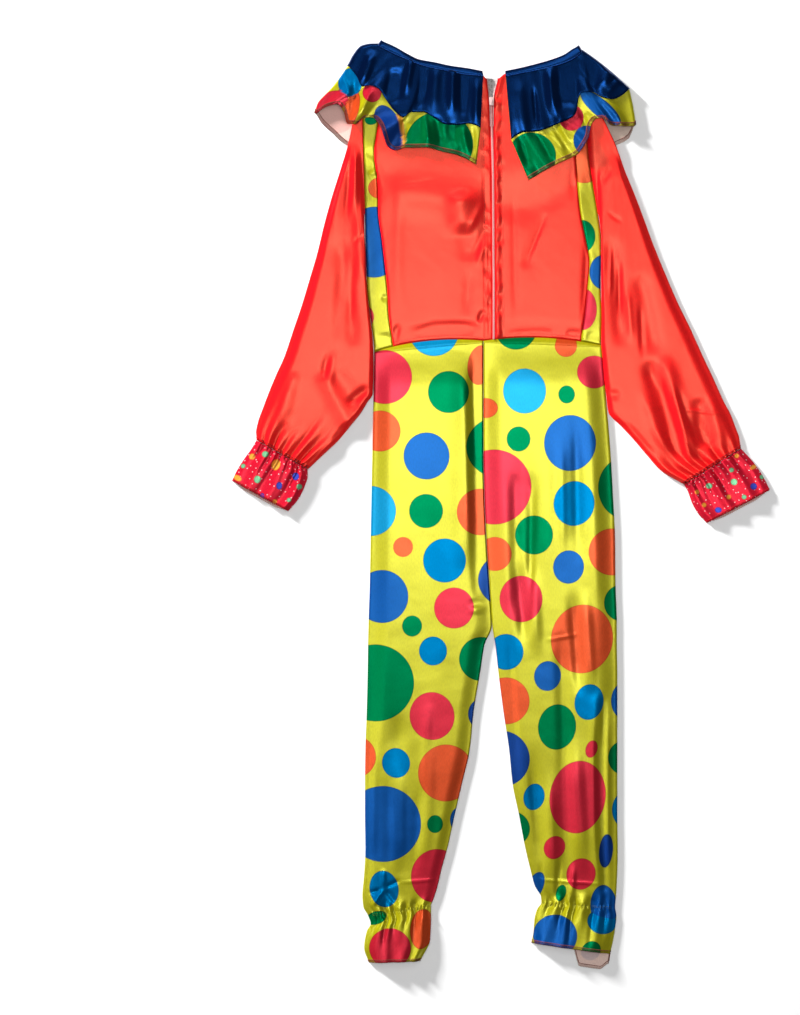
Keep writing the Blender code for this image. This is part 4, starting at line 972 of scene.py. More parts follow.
@dataclass(frozen=True)
class Thread:
    """Spun polyester sewing thread: matt, two plies twisted together."""

    name: str
    colour: str
    shade: str

    def make(self) -> bpy.types.Material:
        """Build the thread's material: a twist of 1.2 mm."""
        material, tree = blank_material(self.name, Roughness=0.6, IOR=POLYESTER_IOR)
        ply = noise(tree, object_place(tree), 0.0012, 1.0)
        drive(
            tree,
            Base_Color=mixed(tree, ply, linear(self.shade), linear(self.colour)),
            Normal=bumped(tree, ply, 0.5, 0.0002),
        )
        return material


@dataclass(frozen=True)
class ZipTape:
    """Woven polyester zip tape: off-white, grey-flecked where it lies open at the neck, and with a painted
    reflection of the red facings along its edges where it is closed.
    """

    name: str = "woven_zip_tape"

    def make(self) -> bpy.types.Material:
        """Build the tape's material: a rib every millimetre, flecks about 3 mm apart, and the painted
        reflection of the facings at its edges.
        """
        material, tree = blank_material(self.name, Roughness=0.7, IOR=POLYESTER_IOR)
        place = uv_place(tree)
        parted = add_node(tree, "ShaderNodeSeparateXYZ", {"Vector": place})
        inputs = {"Vector": place, "Scale": 1.0 / 0.0032}
        cells = add_node(tree, "ShaderNodeTexVoronoi", inputs, voronoi_dimensions="2D")
        fleck = ranged(tree, cells.outputs["Distance"], (0.22, 0.40), (0.55, 0.0))
        aside = figured(tree, "SUBTRACT", parted.outputs["X"], 0.00175)     # from the tape's middle
        # Towards its edges the closed tape is painted red: a painted reflection of the red facings beside
        # it.
        painted_facing_reflection = ranged(tree, figured(tree, "ABSOLUTE", aside), (0.0008, 0.0013), (0.0, 1.0))
        closed = mixed(tree, painted_facing_reflection, linear("#C98E8C"), linear("#CC3236"))      # painted reflection of the red facings towards the tape's edges
        open_end = ranged(tree, parted.outputs["Y"], (0.022, 0.030), (1.0, 0.0))
        ground = mixed(tree, open_end, closed, linear("#A8A2A0"))
        shown = figured(tree, "MULTIPLY", fleck, open_end)
        ribs = add_node(
            tree, "ShaderNodeTexWave", {"Vector": place, "Scale": 1.0 / 0.0063},
            wave_type="BANDS", bands_direction="Y",
        )
        drive(
            tree,
            Base_Color=mixed(tree, shown, ground, linear("#5E5856")),
            Normal=bumped(tree, ribs.outputs["Fac"], 0.4, 0.0002),
        )
        return material


@dataclass(frozen=True)
class Enamel:
    """Spray enamel on the zip's die-cast slider: smooth, slightly orange-peeled."""

    name: str = "slider_enamel_gloss"
    colour: str = "#C4A4A0"

    def make(self) -> bpy.types.Material:
        """Build the enamel's material: a peel of 1.5 mm."""
        material, tree = blank_material(self.name, Base_Color=linear(self.colour), IOR=1.5)
        peel = noise(tree, object_place(tree), 0.0015)
        drive(tree, Roughness=ranged(tree, peel, (0.0, 1.0), (0.25, 0.42)))
        return material


@dataclass(frozen=True)
class Finishes:
    """Every material of the garment."""

    red: bpy.types.Material
    dotted: bpy.types.Material
    navy: bpy.types.Material
    confetti: bpy.types.Material
    red_wrong: bpy.types.Material
    dotted_wrong: bpy.types.Material
    tape: bpy.types.Material
    coil: bpy.types.Material
    red_thread: bpy.types.Material
    hem_thread: bpy.types.Material
    yellow_thread: bpy.types.Material
    navy_thread: bpy.types.Material
    enamel: bpy.types.Material

    @classmethod
    def make(cls) -> "Finishes":
        """Make every finish."""
        return cls(
            red=Satin(
                "red_polyester_satin", "#EE0A18", "#FFD8A4", roughness=0.33, gloss=0.78, dyed_lustre=0.2
            ).make(),
            dotted=Satin(
                "dotted_polyester_satin", "#A8A20A", "#E8F8B0", Ground.DOTS, roughness=0.29, gloss=1.0,
                dyed_lustre=0.45, ior=1.6,
            ).make(),
            navy=Satin(
                "navy_polyester_satin", "#01061C", "#2F86FF", roughness=0.22, gloss=1.0, dyed_lustre=0.0
            ).make(),
            confetti=Satin("confetti_polyester_satin", "#D41430", "#FFC0C0", Ground.CONFETTI).make(),
            red_wrong=WrongSide("red_satin_wrong_side", "#D8443C", 0.0).make(),
            dotted_wrong=WrongSide("dotted_satin_wrong_side", "#DEC0B4").make(),
            tape=ZipTape().make(),
            coil=Thread("moulded_zip_coil", "#D9A3A0", "#B98482").make(),
            red_thread=Thread("red_thread", "#C3161C", "#8E0A12").make(),
            hem_thread=Thread("maroon_overlock_thread", "#8C4034", "#5C241C").make(),
            yellow_thread=Thread("yellow_thread", "#767A1E", "#5A5E14").make(),
            navy_thread=Thread("navy_thread", "#123A8C", "#0A2258").make(),
            enamel=Enamel().make(),
        )


def ride(piece: bpy.types.Object, slot: str, nodes: Sequence[str] = ()) -> None:
    """Let a piece ride on the garment, and hide the nodes it stands for."""
    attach(piece, "root")
    if nodes:
        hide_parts(*nodes)
    LOG.info("%s: %d faces", piece.name, len(piece.data.polygons))


def add_object(name: str, data: bpy.types.ID | None) -> bpy.types.Object:
    """Add an object to the scene."""
    made = bpy.data.objects.new(name, data)
    bpy.context.scene.collection.objects.link(made)
    return made


def new_mesh(name: str, bm: bmesh.types.BMesh) -> bpy.types.Mesh:
    """Turn a working mesh into a mesh, and free it."""
    mesh = bpy.data.meshes.new(name)
    bm.to_mesh(mesh)
    bm.free()
    return mesh


def lengths(line: Array) -> Array:
    """Return how far each point of a line lies along it, from its first point."""
    return np.concatenate(([0.0], np.linalg.norm(np.diff(line, axis=0), axis=1).cumsum()))


@dataclass
class Sheet:
    """A piece of cloth: a grid of points on its outer face, columns by rows by XYZ."""

    name: str
    points: Array
    faces_down: bool = False
    gathered: bool = False            # its grain runs straight from edge to edge in every gather
    print_on: Print | None = None
    shade_on: list[tuple[slice, Print]] = field(default_factory=list)

    def flat_places(self) -> Array:
        """Return each point's place on the uncreased cloth: across and down from its first corner."""
        across = np.linalg.norm(np.diff(self.points, axis=0), axis=2).cumsum(axis=0)
        down = np.linalg.norm(np.diff(self.points, axis=1), axis=2).mean(axis=0).cumsum()
        places = np.zeros(self.points.shape[:2] + (2,))
        places[1:, :, 0] = across
        places[:, 1:, 1] = down
        return places

    def cut(self) -> tuple[float, float, float]:
        """Return the cloth's width, length and area, in metres and square metres."""
        places = self.flat_places()
        corner = self.points[:-1, :-1]
        one, two = self.points[1:, :-1] - corner, self.points[:-1, 1:] - corner
        area = np.linalg.norm(np.cross(one, two), axis=2).sum()
        return places[..., 0].max() * MM, places[..., 1].max() * MM, float(area) * MM * MM

    def printed(self) -> tuple[Array, Array]:
        """Return the distance to the nearest dot's edge and the dye at each point."""
        x, y = self.points[..., 0], self.points[..., 1]
        distance, dye = self.print_on.field(x, y)
        for columns, other in self.shade_on:
            distance[columns], dye[columns] = other.field(x[columns], y[columns])
        return distance, dye

    def build(self, outer: bpy.types.Material, inner: bpy.types.Material) -> bpy.types.Object:
        """Make the sheet's object: a shell whose inner wall shows the cloth's wrong side.

        Args:
            outer: The finish of the right side.
            inner: The finish of the wrong side.

        Returns:
            The object, with a wall of SHELL under its outer face.
        """
        columns, rows = self.points.shape[:2]
        bm = bmesh.new()
        bmesh.ops.create_grid(bm, x_segments=columns - 1, y_segments=rows - 1, size=1.0)
        mesh = new_mesh(self.name, bm)
        plan = np.empty(len(mesh.vertices) * 3)
        mesh.vertices.foreach_get("co", plan)
        plan = (plan.reshape(-1, 3)[:, :2] + 1.0) / 2.0
        column = np.rint(plan[:, 0] * (columns - 1)).astype(int)
        row = np.rint(plan[:, 1] * (rows - 1)).astype(int)
        mesh.vertices.foreach_set("co", (self.points[column, row] * MM).ravel())
        corner = self.points[2, rows // 2]
        normal = np.cross(self.points[3, rows // 2] - corner, self.points[2, rows // 2 + 1] - corner)
        if (normal[2] < 0.0) != self.faces_down:
            mesh.flip_normals()
        self.mark(mesh, column, row)
        mesh.materials.append(outer)
        mesh.materials.append(inner)
        mesh.shade_smooth()
        piece = add_object(self.name, mesh)
        wall = piece.modifiers.new("wall", "SOLIDIFY")
        wall.thickness = SHELL * MM
        wall.offset = -1.0
        wall.material_offset = 1
        wall.material_offset_rim = 0
        LOG.info("%s: cut %.3f x %.3f m, %.4f m2", self.name, *self.cut())
        return piece

    def mark(self, mesh: bpy.types.Mesh, column: Array, row: Array) -> None:
        """Give the mesh its flat places as a UV map, and its print as attributes.

        Args:
            mesh: The sheet's mesh.
            column: The grid's column of each of its vertices.
            row: The grid's row of each of its vertices.
        """
        vertex = np.empty(len(mesh.loops), dtype=np.int32)
        mesh.loops.foreach_get("vertex_index", vertex)
        places = self.flat_places()
        flat = places[column, row] * MM
        if self.gathered:
            flat[:, 0] = (places[..., 0].mean(axis=1) * MM)[column]
        mesh.uv_layers.new(name="UVMap").data.foreach_set("uv", flat[vertex].ravel())
        if self.print_on is None:
            return
        distance, dye = self.printed()
        edge = mesh.attributes.new("dot_edge", "FLOAT", "POINT")
        edge.data.foreach_set("value", distance[column, row])
        inks = np.array([linear(colour) for colour in DYES])
        ink = mesh.attributes.new("dot_dye", "FLOAT_COLOR", "POINT")
        ink.data.foreach_set("color", inks[dye[column, row]].ravel())

    def normals(self) -> Array:
        """Return the outward direction at each point."""
        normal = np.cross(np.gradient(self.points, axis=0), np.gradient(self.points, axis=1))
        corner = normal[2, normal.shape[1] // 2, 2]
        sign = -1.0 if (corner < 0.0) != self.faces_down else 1.0
        return sign * normal / np.maximum(np.linalg.norm(normal, axis=2, keepdims=True), 1e-9)


def sew(
    name: str, runs: Sequence[Array], radius: float, material: bpy.types.Material, slot: str
) -> bpy.types.Object:
    """Make one object of thread from runs of points, and let it ride on the garment.

    Args:
        name: The object's name.
        runs: The points of each run of thread, in millimetres.
        radius: Half the thread's thickness in millimetres.
        material: The thread's finish.
        slot: Not used.

    Returns:
        A mesh object of square-sided tubes with closed ends.
    """
    curve = bpy.data.curves.new(name, "CURVE")
    curve.dimensions = "3D"
    curve.bevel_depth = radius * MM
    curve.bevel_resolution = 0
    curve.use_fill_caps = True
    for run in runs:
        spline = curve.splines.new("POLY")
        spline.points.add(len(run) - 1)
        held = np.array(run)
        held[:, 2] = np.maximum(held[:, 2], radius)      # a thread lies on the table, not in it
        four = np.concatenate((held * MM, np.ones((len(held), 1))), axis=1)
        spline.points.foreach_set("co", four.ravel())
    drawn = add_object(name + "_line", curve)
    graph = bpy.context.evaluated_depsgraph_get()
    mesh = bpy.data.meshes.new_from_object(drawn.evaluated_get(graph))
    bpy.data.objects.remove(drawn, do_unlink=True)
    mesh.name = name
    mesh.materials.clear()
    mesh.materials.append(material)
    mesh.shade_smooth()
    piece = add_object(name, mesh)
    ride(piece, slot)
    return piece


def resample(line: Array, spacing: float) -> tuple[Array, Array]:
    """Return points evenly spaced along a line, and their places along it as shares of the points."""
    length = lengths(line)
    count = max(int(round(length[-1] / spacing)), 2)
    at = np.linspace(0.0, length[-1], count + 1)
    index = np.interp(at, length, np.arange(len(line)))
    return sample(line, index), index


def sample(line: Array, index: Array) -> Array:
    """Return a line's points at fractional indices."""
    whole = np.arange(len(line))
    return np.stack([np.interp(index, whole, line[:, axis]) for axis in range(line.shape[1])], axis=1)


@dataclass(frozen=True)
class Overlock:
    """An overlocked hem: loops of thread that run in from the cut edge and back."""

    pitch: float = 1.9
    depth: float = 3.4
    radius: float = 0.32
    overhang: float = 0.25      # how far the loops stand out past the cut edge
    closeness: float = 0.2      # how much closer to the cloth they lie there

    def runs(self, sheet: Sheet) -> list[Array]:
        """Return the thread's runs along a sheet's last row, on its right side and its wrong side."""
        inner = np.array([self.inside(line) for line in sheet.points])
        path, index = resample(sheet.points[:, -1], self.pitch / 2.0)
        out_at, inner_at = sample(sheet.normals()[:, -1], index), sample(inner, index)
        over = path - inner_at
        over = over / np.maximum(np.linalg.norm(over, axis=1, keepdims=True), 1e-6)
        runs = []
        for away in (self.radius, -SHELL - self.radius):
            lines = inner_at + out_at * away
            turned = away - math.copysign(self.closeness, away)
            lines[::2] = path[::2] + over[::2] * self.overhang + out_at[::2] * turned
            runs += [lines, inner_at + out_at * away * 1.2]
        return runs

    def inside(self, line: Array) -> Array:
        """Return the point that lies the stitch's depth in from the end of a line of points."""
        back = line[::-1]
        return np.array([np.interp(self.depth, lengths(back), back[:, axis]) for axis in range(3)])


def dashes(line: Array, out: Array, stitch: float = 2.6, gap: float = 1.0) -> list[Array]:
    """Return a row of topstitches along a line that lie a little sunk at both ends."""
    path, index = resample(line, (stitch + gap) / 4.0)
    up = sample(out, index)
    height = np.array((0.02, 0.22, 0.22, 0.02))[:, None]
    starts = range(0, len(path) - 3, 4)
    return [path[start : start + 4] + up[start : start + 4] * height for start in starts]


def tube_section(
    across: Steps, inner: Array, outer: Array, gap: Layout, rise: Layout, floor: Layout
) -> Array:
    """Lay out a flattened tube: the back layer, a half round at the outer edge, the front layer.

    Args:
        across: How many steps the back layer, the turn and the front layer have.
        inner: Each row's end at the seam, rows by XY.
        outer: Each row's end at the turn, rows by XY.
        gap: A function of share, x and y that gives the space between the layers.
        rise: A function of share, x and y that gives how far the front layer leaves the table.
        floor: A function of x and y that gives the height the tube lies at.

    Returns:
        The points of the tube's outer face, columns by rows by XYZ.
    """
    top, turn, under = across
    share = np.concatenate(
        (np.linspace(0.0, 1.0, top + 1), np.ones(turn - 1), np.linspace(1.0, 0.0, under + 1))
    )[:, None]
    angle = np.concatenate(
        (np.full(top, 90.0), np.linspace(90.0, -90.0, turn + 1), np.full(under, -90.0))
    )[:, None]
    outwards = (outer - inner) / np.linalg.norm(outer - inner, axis=1, keepdims=True)
    radius = EDGE_GAP / 2.0 + CLOTH
    centre = outer - outwards * radius
    plan = inner[None] + (centre - inner)[None] * share[..., None]
    plan = plan + outwards[None] * (radius * np.cos(np.radians(angle)))[..., None]
    x, y = plan[..., 0], plan[..., 1]
    height = radius + radius * np.sin(np.radians(angle)) + floor(x, y)
    column = np.arange(len(share))[:, None]
    height = height + np.where(column <= top, gap(share, x, y) - EDGE_GAP, 0.0)
    height = height + np.where(column >= top + turn, rise(share, x, y), 0.0)
    return np.dstack((x, y, height))


def under_layer(across: Steps) -> tuple[slice, Array]:
    """Return the columns of a tube's layer on the table, and their places across the tube."""
    return slice(across[0] + across[1], None), np.linspace(1.0, 0.0, across[2] + 1)[:, None]


def on_table(x: Array, y: Array) -> float:
    """Return the height of a piece that lies on the table everywhere."""
    return 0.0


def sections(named: Table, rows: Array) -> tuple[Array, Array, Table]:
    """Return the smooth inner and outer ends of a tube's sections at fractional rows."""
    index = dict(named, row=np.arange(len(named["inner_x"]), dtype=float))
    ends = {name: read(index, name, rows, key="row") for name in named}
    inner = np.stack((ends["inner_x"], ends["inner_y"]), axis=1)
    outer = np.stack((ends["outer_x"], ends["outer_y"]), axis=1)
    return inner, outer, ends


def spaced_rows(*parts: tuple[float, float, int]) -> Array:
    """Return fractional rows: each part runs from its start towards its end in so many steps."""
    runs = [np.linspace(start, end, steps, endpoint=False) for start, end, steps in parts]
    return np.concatenate((*runs, [parts[-1][1]]))


def creased_rise(x: Array, y: Array) -> Array:
    """Return how far the side on the table rises from it in its creases."""
    return np.clip(crease_height(UNDER_CREASES, x, y), 0.0, 0.9)


def gathered_rise(pleats: Table, share: Array, above: Array) -> Array:
    """Return how far a gathered tube's pleats lift its side on the table."""
    return np.minimum(UNDER_GATHER * np.abs(gather_height(pleats, 1.0 - share, above)), UNDER_LIMIT)


def declare(
    sheet: Sheet, extras: Sequence[bpy.types.Object] = (),
) -> None:
    """Work out the piece's cut, without keeping it.

    Args:
        sheet: The piece's cloth.
        extras: The sewing that belongs to it.
    """
    width, length, area = sheet.cut()
    length = max(length, NARROWEST)
    width = min(width, TAPER_WIDTH * area / length)      # a long taper counts as a narrower strip
    min(area, width * length)
    list(extras)


@dataclass
class Leg:
    """One flattened trouser leg, gathered by elastic above its frilled hem."""

    side: Side
    named: Table
    pleats: Table
    dots: Table
    across: Steps = (72, 4, 36)
    rows: tuple[int, int] = (170, 92)       # above and below the section where the gathers start
    gathers_from: float = 14.0              # that section
    loft: float = LEG_LOFT
    sheet: Sheet | None = None

    def build(self) -> None:
        """Lay the leg out as one sheet."""
        start, last = self.gathers_from, float(LEG_LAST)
        rows = spaced_rows((0.0, start, self.rows[0]), (start, last, self.rows[1]))
        inner, outer, ends = sections(self.named, rows)
        inner[0, 1], outer[0, 1] = waist_y(inner[0, 0]), waist_y(outer[0, 0])
        down = lengths((inner + outer) / 2.0)
        above = (np.interp(ELASTIC_ROW, rows, down) - down)[None]
        above = np.where(above > 0.0, PINCH * above, above)
        depth = bell(rows - ELASTIC_ROW, ELASTIC_REACH)[None]
        below = (np.maximum(rows - ELASTIC_ROW, 0.0) / (last - ELASTIC_ROW))[None]
        from_waist = ease(rows / 1.5)[None]

        def gap(share: Array, x: Array, y: Array) -> Array:
            loft = self.loft * (1.0 - ELASTIC_SQUEEZE * depth) + ANKLE_WAVES.rise(share) * below
            loft = loft + crease_height(LEG_CREASES, x, y)
            loft = loft + gather_height(self.pleats, share, above)
            loft = loft + ANKLE_PUCKERS.rise(share, above) + FRILL_FLARE * below
            return air(x, y, np.maximum(loft, LEAST_LOFT), edge_fade(share, 0.16) * from_waist)

        def rise(share: Array, x: Array, y: Array) -> Array:
            return creased_rise(x, y) * edge_fade(share) + gathered_rise(self.pleats, share, above)

        points = tube_section(self.across, inner, outer, gap, rise, on_table)
        under, share = under_layer(self.across)
        flap = ease((share - FLAP_START) / 0.08) * (1.0 - 0.4 * ease((share - 0.88) / 0.12))
        points[under, :, 1] -= ends["under_drop"][None] * flap
        points[:, 0, 1] = waist_y(points[:, 0, 0])
        self.sheet = Sheet(
            f"leg_{self.side.value}_cloth", points, print_on=Print(self.dots),
            shade_on=[(under, Print(self.dots, shuffle=True))],
        )

    def dress(self, finishes: Finishes) -> None:
        """Make the leg and its stitches."""
        name = "leg_" + self.side.value
        piece = self.sheet.build(finishes.dotted, finishes.dotted_wrong)
        ride(piece, "dotted_satin", [name])
        hem = sew(
            name + "_overlock", Overlock().runs(self.sheet), 0.30, finishes.hem_thread, "dotted_satin"
        )
        gathers = (ELASTIC_ROW - self.gathers_from) / (LEG_LAST - self.gathers_from)
        row = self.rows[0] + round(self.rows[1] * gathers)
        points, normals = self.sheet.points, self.sheet.normals()
        columns = slice(1, self.across[0])
        runs = []
        for beside in (row - 1, row + 1):
            runs += dashes(points[columns, beside], normals[columns, beside])
        seam = sew(name + "_elastic_stitches", runs, 0.07, finishes.yellow_thread, "dotted_satin")
        declare(self.sheet, [hem, seam])


@dataclass
class Sleeve:
    """One long flattened sleeve, gathered into its frill at the wrist."""

    side: Side
    named: Table
    pleats: Table
    across: Steps = (56, 4, 26)
    rows: tuple[int, int] = (110, 50)       # above and below the section where the gathers start
    gathers_from: float = 12.0              # that section
    loft: float = SLEEVE_LOFT
    sheet: Sheet | None = None

    def build(self) -> None:
        """Lay the sleeve out as one sheet."""
        start, last = self.gathers_from, float(SLEEVE_LAST)
        rows = spaced_rows((0.0, start, self.rows[0]), (start, last, self.rows[1]))
        inner, outer, _ = sections(self.named, rows)
        down = lengths((inner + outer) / 2.0)
        above = WRIST_PINCH * (down[-1] - down)[None]
        near_wrist = ease(1.0 - (last - rows) / WRIST_GATHER_ROWS)
        from_armhole = ease(rows / 2.0)[None]
        away = np.zeros_like(inner)
        away[:, 0] = self.side.away * SIDE_GAP * (1.0 - near_wrist) * ease(rows / 0.5)
        inner = inner + away

        def gap(share: Array, x: Array, y: Array) -> Array:
            loft = self.loft * (1.0 - WRIST_SQUEEZE * near_wrist) + WRIST_WAVES.rise(share) * near_wrist
            loft = loft + crease_height(SLEEVE_CREASES, x, y)
            loft = loft + gather_height(self.pleats, share, above)
            loft = loft + WRIST_PUCKERS.rise(share, above)
            fade = edge_fade(share, 0.05, 0.11)      # steep beside the body, which it lies against
            return air(x, y, np.maximum(loft, LEAST_LOFT), fade * from_armhole)

        def rise(share: Array, x: Array, y: Array) -> Array:
            return creased_rise(x, y) * edge_fade(share) + gathered_rise(self.pleats, share, above)

        points = tube_section(self.across, inner, outer, gap, rise, lift)
        points[:, 0, 0] = seam_x("side_" + self.side.value, points[:, 0, 1])
        self.sheet = Sheet(f"sleeve_{self.side.value}_cloth", points)

    def dress(self, finishes: Finishes) -> None:
        """Make the sleeve and the seam at its wrist."""
        name = "sleeve_" + self.side.value
        piece = self.sheet.build(finishes.red, finishes.red_wrong)
        ride(piece, "red_satin", [name])
        runs = Overlock(pitch=1.8, depth=3.4, radius=0.3).runs(self.sheet)
        seam = sew(name + "_wrist_stitches", runs, 0.32, finishes.red_thread, "red_satin")
        declare(self.sheet, [seam])


@dataclass
class Cuff:
    """One wrist frill of confetti satin."""

    side: Side
    named: Table
    pleats: Table
    across: Steps = (64, 4, 40)
    rows: int = 34
    loft: float = CUFF_LOFT
    drop: float = 3.0        # how far the layer on the table shows below the other
    sheet: Sheet | None = None

    def build(self) -> None:
        """Lay the frill out as one sheet."""
        rows = spaced_rows((0.0, float(CUFF_LAST), self.rows))
        inner, outer, _ = sections(self.named, rows)
        middle = (inner + outer) / 2.0
        down = lengths(middle)[None]
        below = (rows / CUFF_LAST)[None]

        def gap(share: Array, x: Array, y: Array) -> Array:
            loft = self.loft + CUFF_WAVES.rise(share) * (0.4 + 0.6 * below)
            loft = loft + gather_height(self.pleats, share, -down)
            loft = loft + gather_height(CUFF_PLEATS, share, -down)
            loft = loft + CUFF_PUCKERS.rise(share, down)
            return EDGE_GAP + np.maximum(loft, LEAST_LOFT) * edge_fade(share, 0.10)

        def rise(share: Array, x: Array, y: Array) -> Array:
            return CUFF_UNDER_GATHER * np.abs(gather_height(self.pleats, 1.0 - share, -down))

        points = tube_section(self.across, inner, outer, gap, rise, on_table)
        under, share = under_layer(self.across)
        hang = (middle[-1] - middle[0]) / np.linalg.norm(middle[-1] - middle[0])
        show = self.drop * ease(below / 0.9) * edge_fade(share, 0.25)
        points[under, :, :2] += show[..., None] * hang
        self.sheet = Sheet(f"cuff_{self.side.value}_cloth", points, print_on=Print(CUFF_DOTS))

    def dress(self, finishes: Finishes) -> None:
        """Make the frill and its hem."""
        name = "cuff_" + self.side.value
        piece = self.sheet.build(finishes.confetti, finishes.dotted_wrong)
        ride(piece, "print_satin", [name])
        runs = Overlock(pitch=2.3, depth=2.4, radius=0.25).runs(self.sheet)
        hem = sew(name + "_overlock", runs, 0.25, finishes.red_thread, "print_satin")
        declare(self.sheet, [hem])


@dataclass
class Bodice:
    """The back panels with their zip facing, the side strips and the plain front."""

    rows: int = 140          # from the shoulders to the waist
    length: float = 300.0    # and about how far apart those are
    facing: float = 8.5      # from the zip to the facing's topstitch
    facing_fall: float = 1.2      # how much higher the right facing lies at the zip; the left is lower
    pucker_shift: float = 9.0     # how far the right puckers lie below the table's places; the left above
    waist_fade: float = 25.0      # length over which the panels come down to the waist seam
    press_start: float = 40.0     # creases start to fade so far below the line the collar presses on
    press_fade: float = 60.0
    seam_roll: float = 0.6        # how far the cloth turns down at each seam
    sheets: dict[str, Sheet] = field(default_factory=dict)

    def body_gap(self, x: Array, y: Array) -> Array:
        """Return the space between the front and the back panels."""
        left, right = seam_x("side_left", y), seam_x("side_right", y)
        edge = edge_fade((x - left) / (right - left), 0.10) * ease((y - waist_y(x)) / self.waist_fade)
        return air(x, y, BODY_LOFT, edge)

    def facing_relief(self, x: Array, y: Array, zip_side: float) -> Array:
        """Return the zip facing's relief: uneven puckers, a fall to the zip and a stitched groove.

        Args:
            x: Places across the panel.
            y: Places up the panel.
            zip_side: 1 where the zip is the panel's first edge, and -1 where it is its last.

        Returns:
            The height that the facing adds.
        """
        away = np.abs(x - seam_x("zip_left" if zip_side < 0 else "zip_right", y))
        puckers = np.zeros(away.shape)
        lifted = y + self.pucker_shift * zip_side
        for down, out, tall, wide, height in zip(*FACING_PUCKERS.values()):
            puckers += height * bell(lifted - grid_y(down), tall) * bell(away - out, wide)
        fall = zip_side * self.facing_fall * ease(1.0 - away / self.facing)
        groove = 0.35 * bell(away - 0.8, 1.0) - 0.5 * bell(away - self.facing, 0.9)
        return fall - zip_side * puckers + groove

    def panel(self, seams: tuple[str, str], top: Table, columns: int, rows: int) -> tuple[Array, ...]:
        """Lay out a panel between two seams, from the shoulders to the waist.

        Args:
            seams: The seams at its first and last edge.
            top: The table of its top edge.
            columns: Its steps across.
            rows: Its steps down.

        Returns:
            The places across and down it as shares, and its points' x, y and lie on the table.
        """
        across = np.linspace(0.0, 1.0, columns + 1)[:, None]
        down = np.linspace(0.0, 1.0, rows + 1)[None]
        left, right = seams
        summit, foot = BODY["y"][-1], BODY["y"][0]
        high_left, high_right = (read(top, "y", seam_x(seam, summit), key="x") for seam in seams)
        high_x = blend(seam_x(left, high_left), seam_x(right, high_right), across)
        low_x = blend(seam_x(left, foot), seam_x(right, foot), across)
        y = blend(read(top, "y", high_x, key="x"), waist_y(low_x), down)
        x = blend(seam_x(left, y), seam_x(right, y), across)
        return across, down, x, y, lift(x, y)

    def back(self, name: str, seams: tuple[str, str], columns: int, zip_side: float) -> Sheet:
        """Lay out a back panel or a strip.

        Args:
            name: The sheet's name.
            seams: The seams at its first and last edge.
            columns: Its steps across.
            zip_side: 1 where the zip is its first edge, -1 where it is its last, 0 for a strip.

        Returns:
            The sheet.
        """
        across, down, x, y, base = self.panel(seams, BACK_TOP, columns, self.rows)
        gap = self.body_gap(x, y)
        z = base + CLOTH + gap + CLOTH
        edge = edge_fade(across, 0.05) * ease((1.0 - down) / 0.02)
        pressed = ease((read(LOFT_LIMIT, "y", x, key="x") + self.press_start - y) / self.press_fade)
        crease = crease_height(BODICE_CREASES, x, y) * pressed
        if zip_side:
            crease = crease + self.facing_relief(x, y, zip_side)
        z = z + np.maximum(crease * np.minimum(edge + 0.3, 1.0), -0.8 * gap)
        width = x[-1] - x[0]
        roll = bell(across * width, 0.9) + bell((1.0 - across) * width, 0.9)
        roll = roll + bell((1.0 - down) * self.length, 1.0)
        printed = None if zip_side else Print(STRIP_DOTS)
        return Sheet(name, np.dstack((x, y, z - self.seam_roll * np.minimum(roll, 1.0))), print_on=printed)

    def build(self) -> None:
        """Lay every panel out."""
        for name, seams, columns, zip_side in (
            ("strip_left_cloth", ("side_left", "strip_left"), 12, 0.0),
            ("back_left_cloth", ("strip_left", "zip_left"), 72, -1.0),
            ("back_right_cloth", ("zip_right", "strip_right"), 60, 1.0),
            ("strip_right_cloth", ("strip_right", "side_right"), 12, 0.0),
        ):
            self.sheets[name] = self.back(name, seams, columns, zip_side)
        across, down, x, y, z = self.panel(("side_left", "side_right"), FRONT_TOP, 70, 80)
        rise = creased_rise(x, y) * edge_fade(across) * edge_fade(down, 0.05)
        self.sheets["front_cloth"] = Sheet("front_cloth", np.dstack((x, y, z + rise)), faces_down=True)

    def dress(self, finishes: Finishes) -> None:
        """Make the panels and their topstitches."""
        for name, sheet in self.sheets.items():
            node = name.removesuffix("_cloth")
            sides, slot = (finishes.red, finishes.red_wrong), "red_satin"
            if node.startswith("strip"):
                sides, slot = (finishes.dotted, finishes.dotted_wrong), "dotted_satin"
            piece = sheet.build(*sides)
            ride(piece, slot, [node])
            extras = [self.topstitch(node, sheet, finishes)] if node.startswith("back") else []
            declare(sheet, extras)

    def topstitch(self, node: str, sheet: Sheet, finishes: Finishes) -> bpy.types.Object:
        """Sew the zip facing down, and run a row along the waist seam."""
        points, normals = sheet.points, sheet.normals()
        zip_first = node == "back_right"
        target = points[0 if zip_first else -1, :, 0] + (self.facing if zip_first else -self.facing)
        facing, out = [], []
        for row in range(points.shape[1]):
            index = np.interp(target[row : row + 1], points[:, row, 0], np.arange(len(points)))
            facing.append(sample(points[:, row], index)[0])
            out.append(sample(normals[:, row], index)[0])
        runs = dashes(np.array(facing), np.array(out))
        runs += dashes(points[2:-2, -3], normals[2:-2, -3])
        return sew(node + "_topstitch", runs, 0.2, finishes.red_thread, "red_satin")


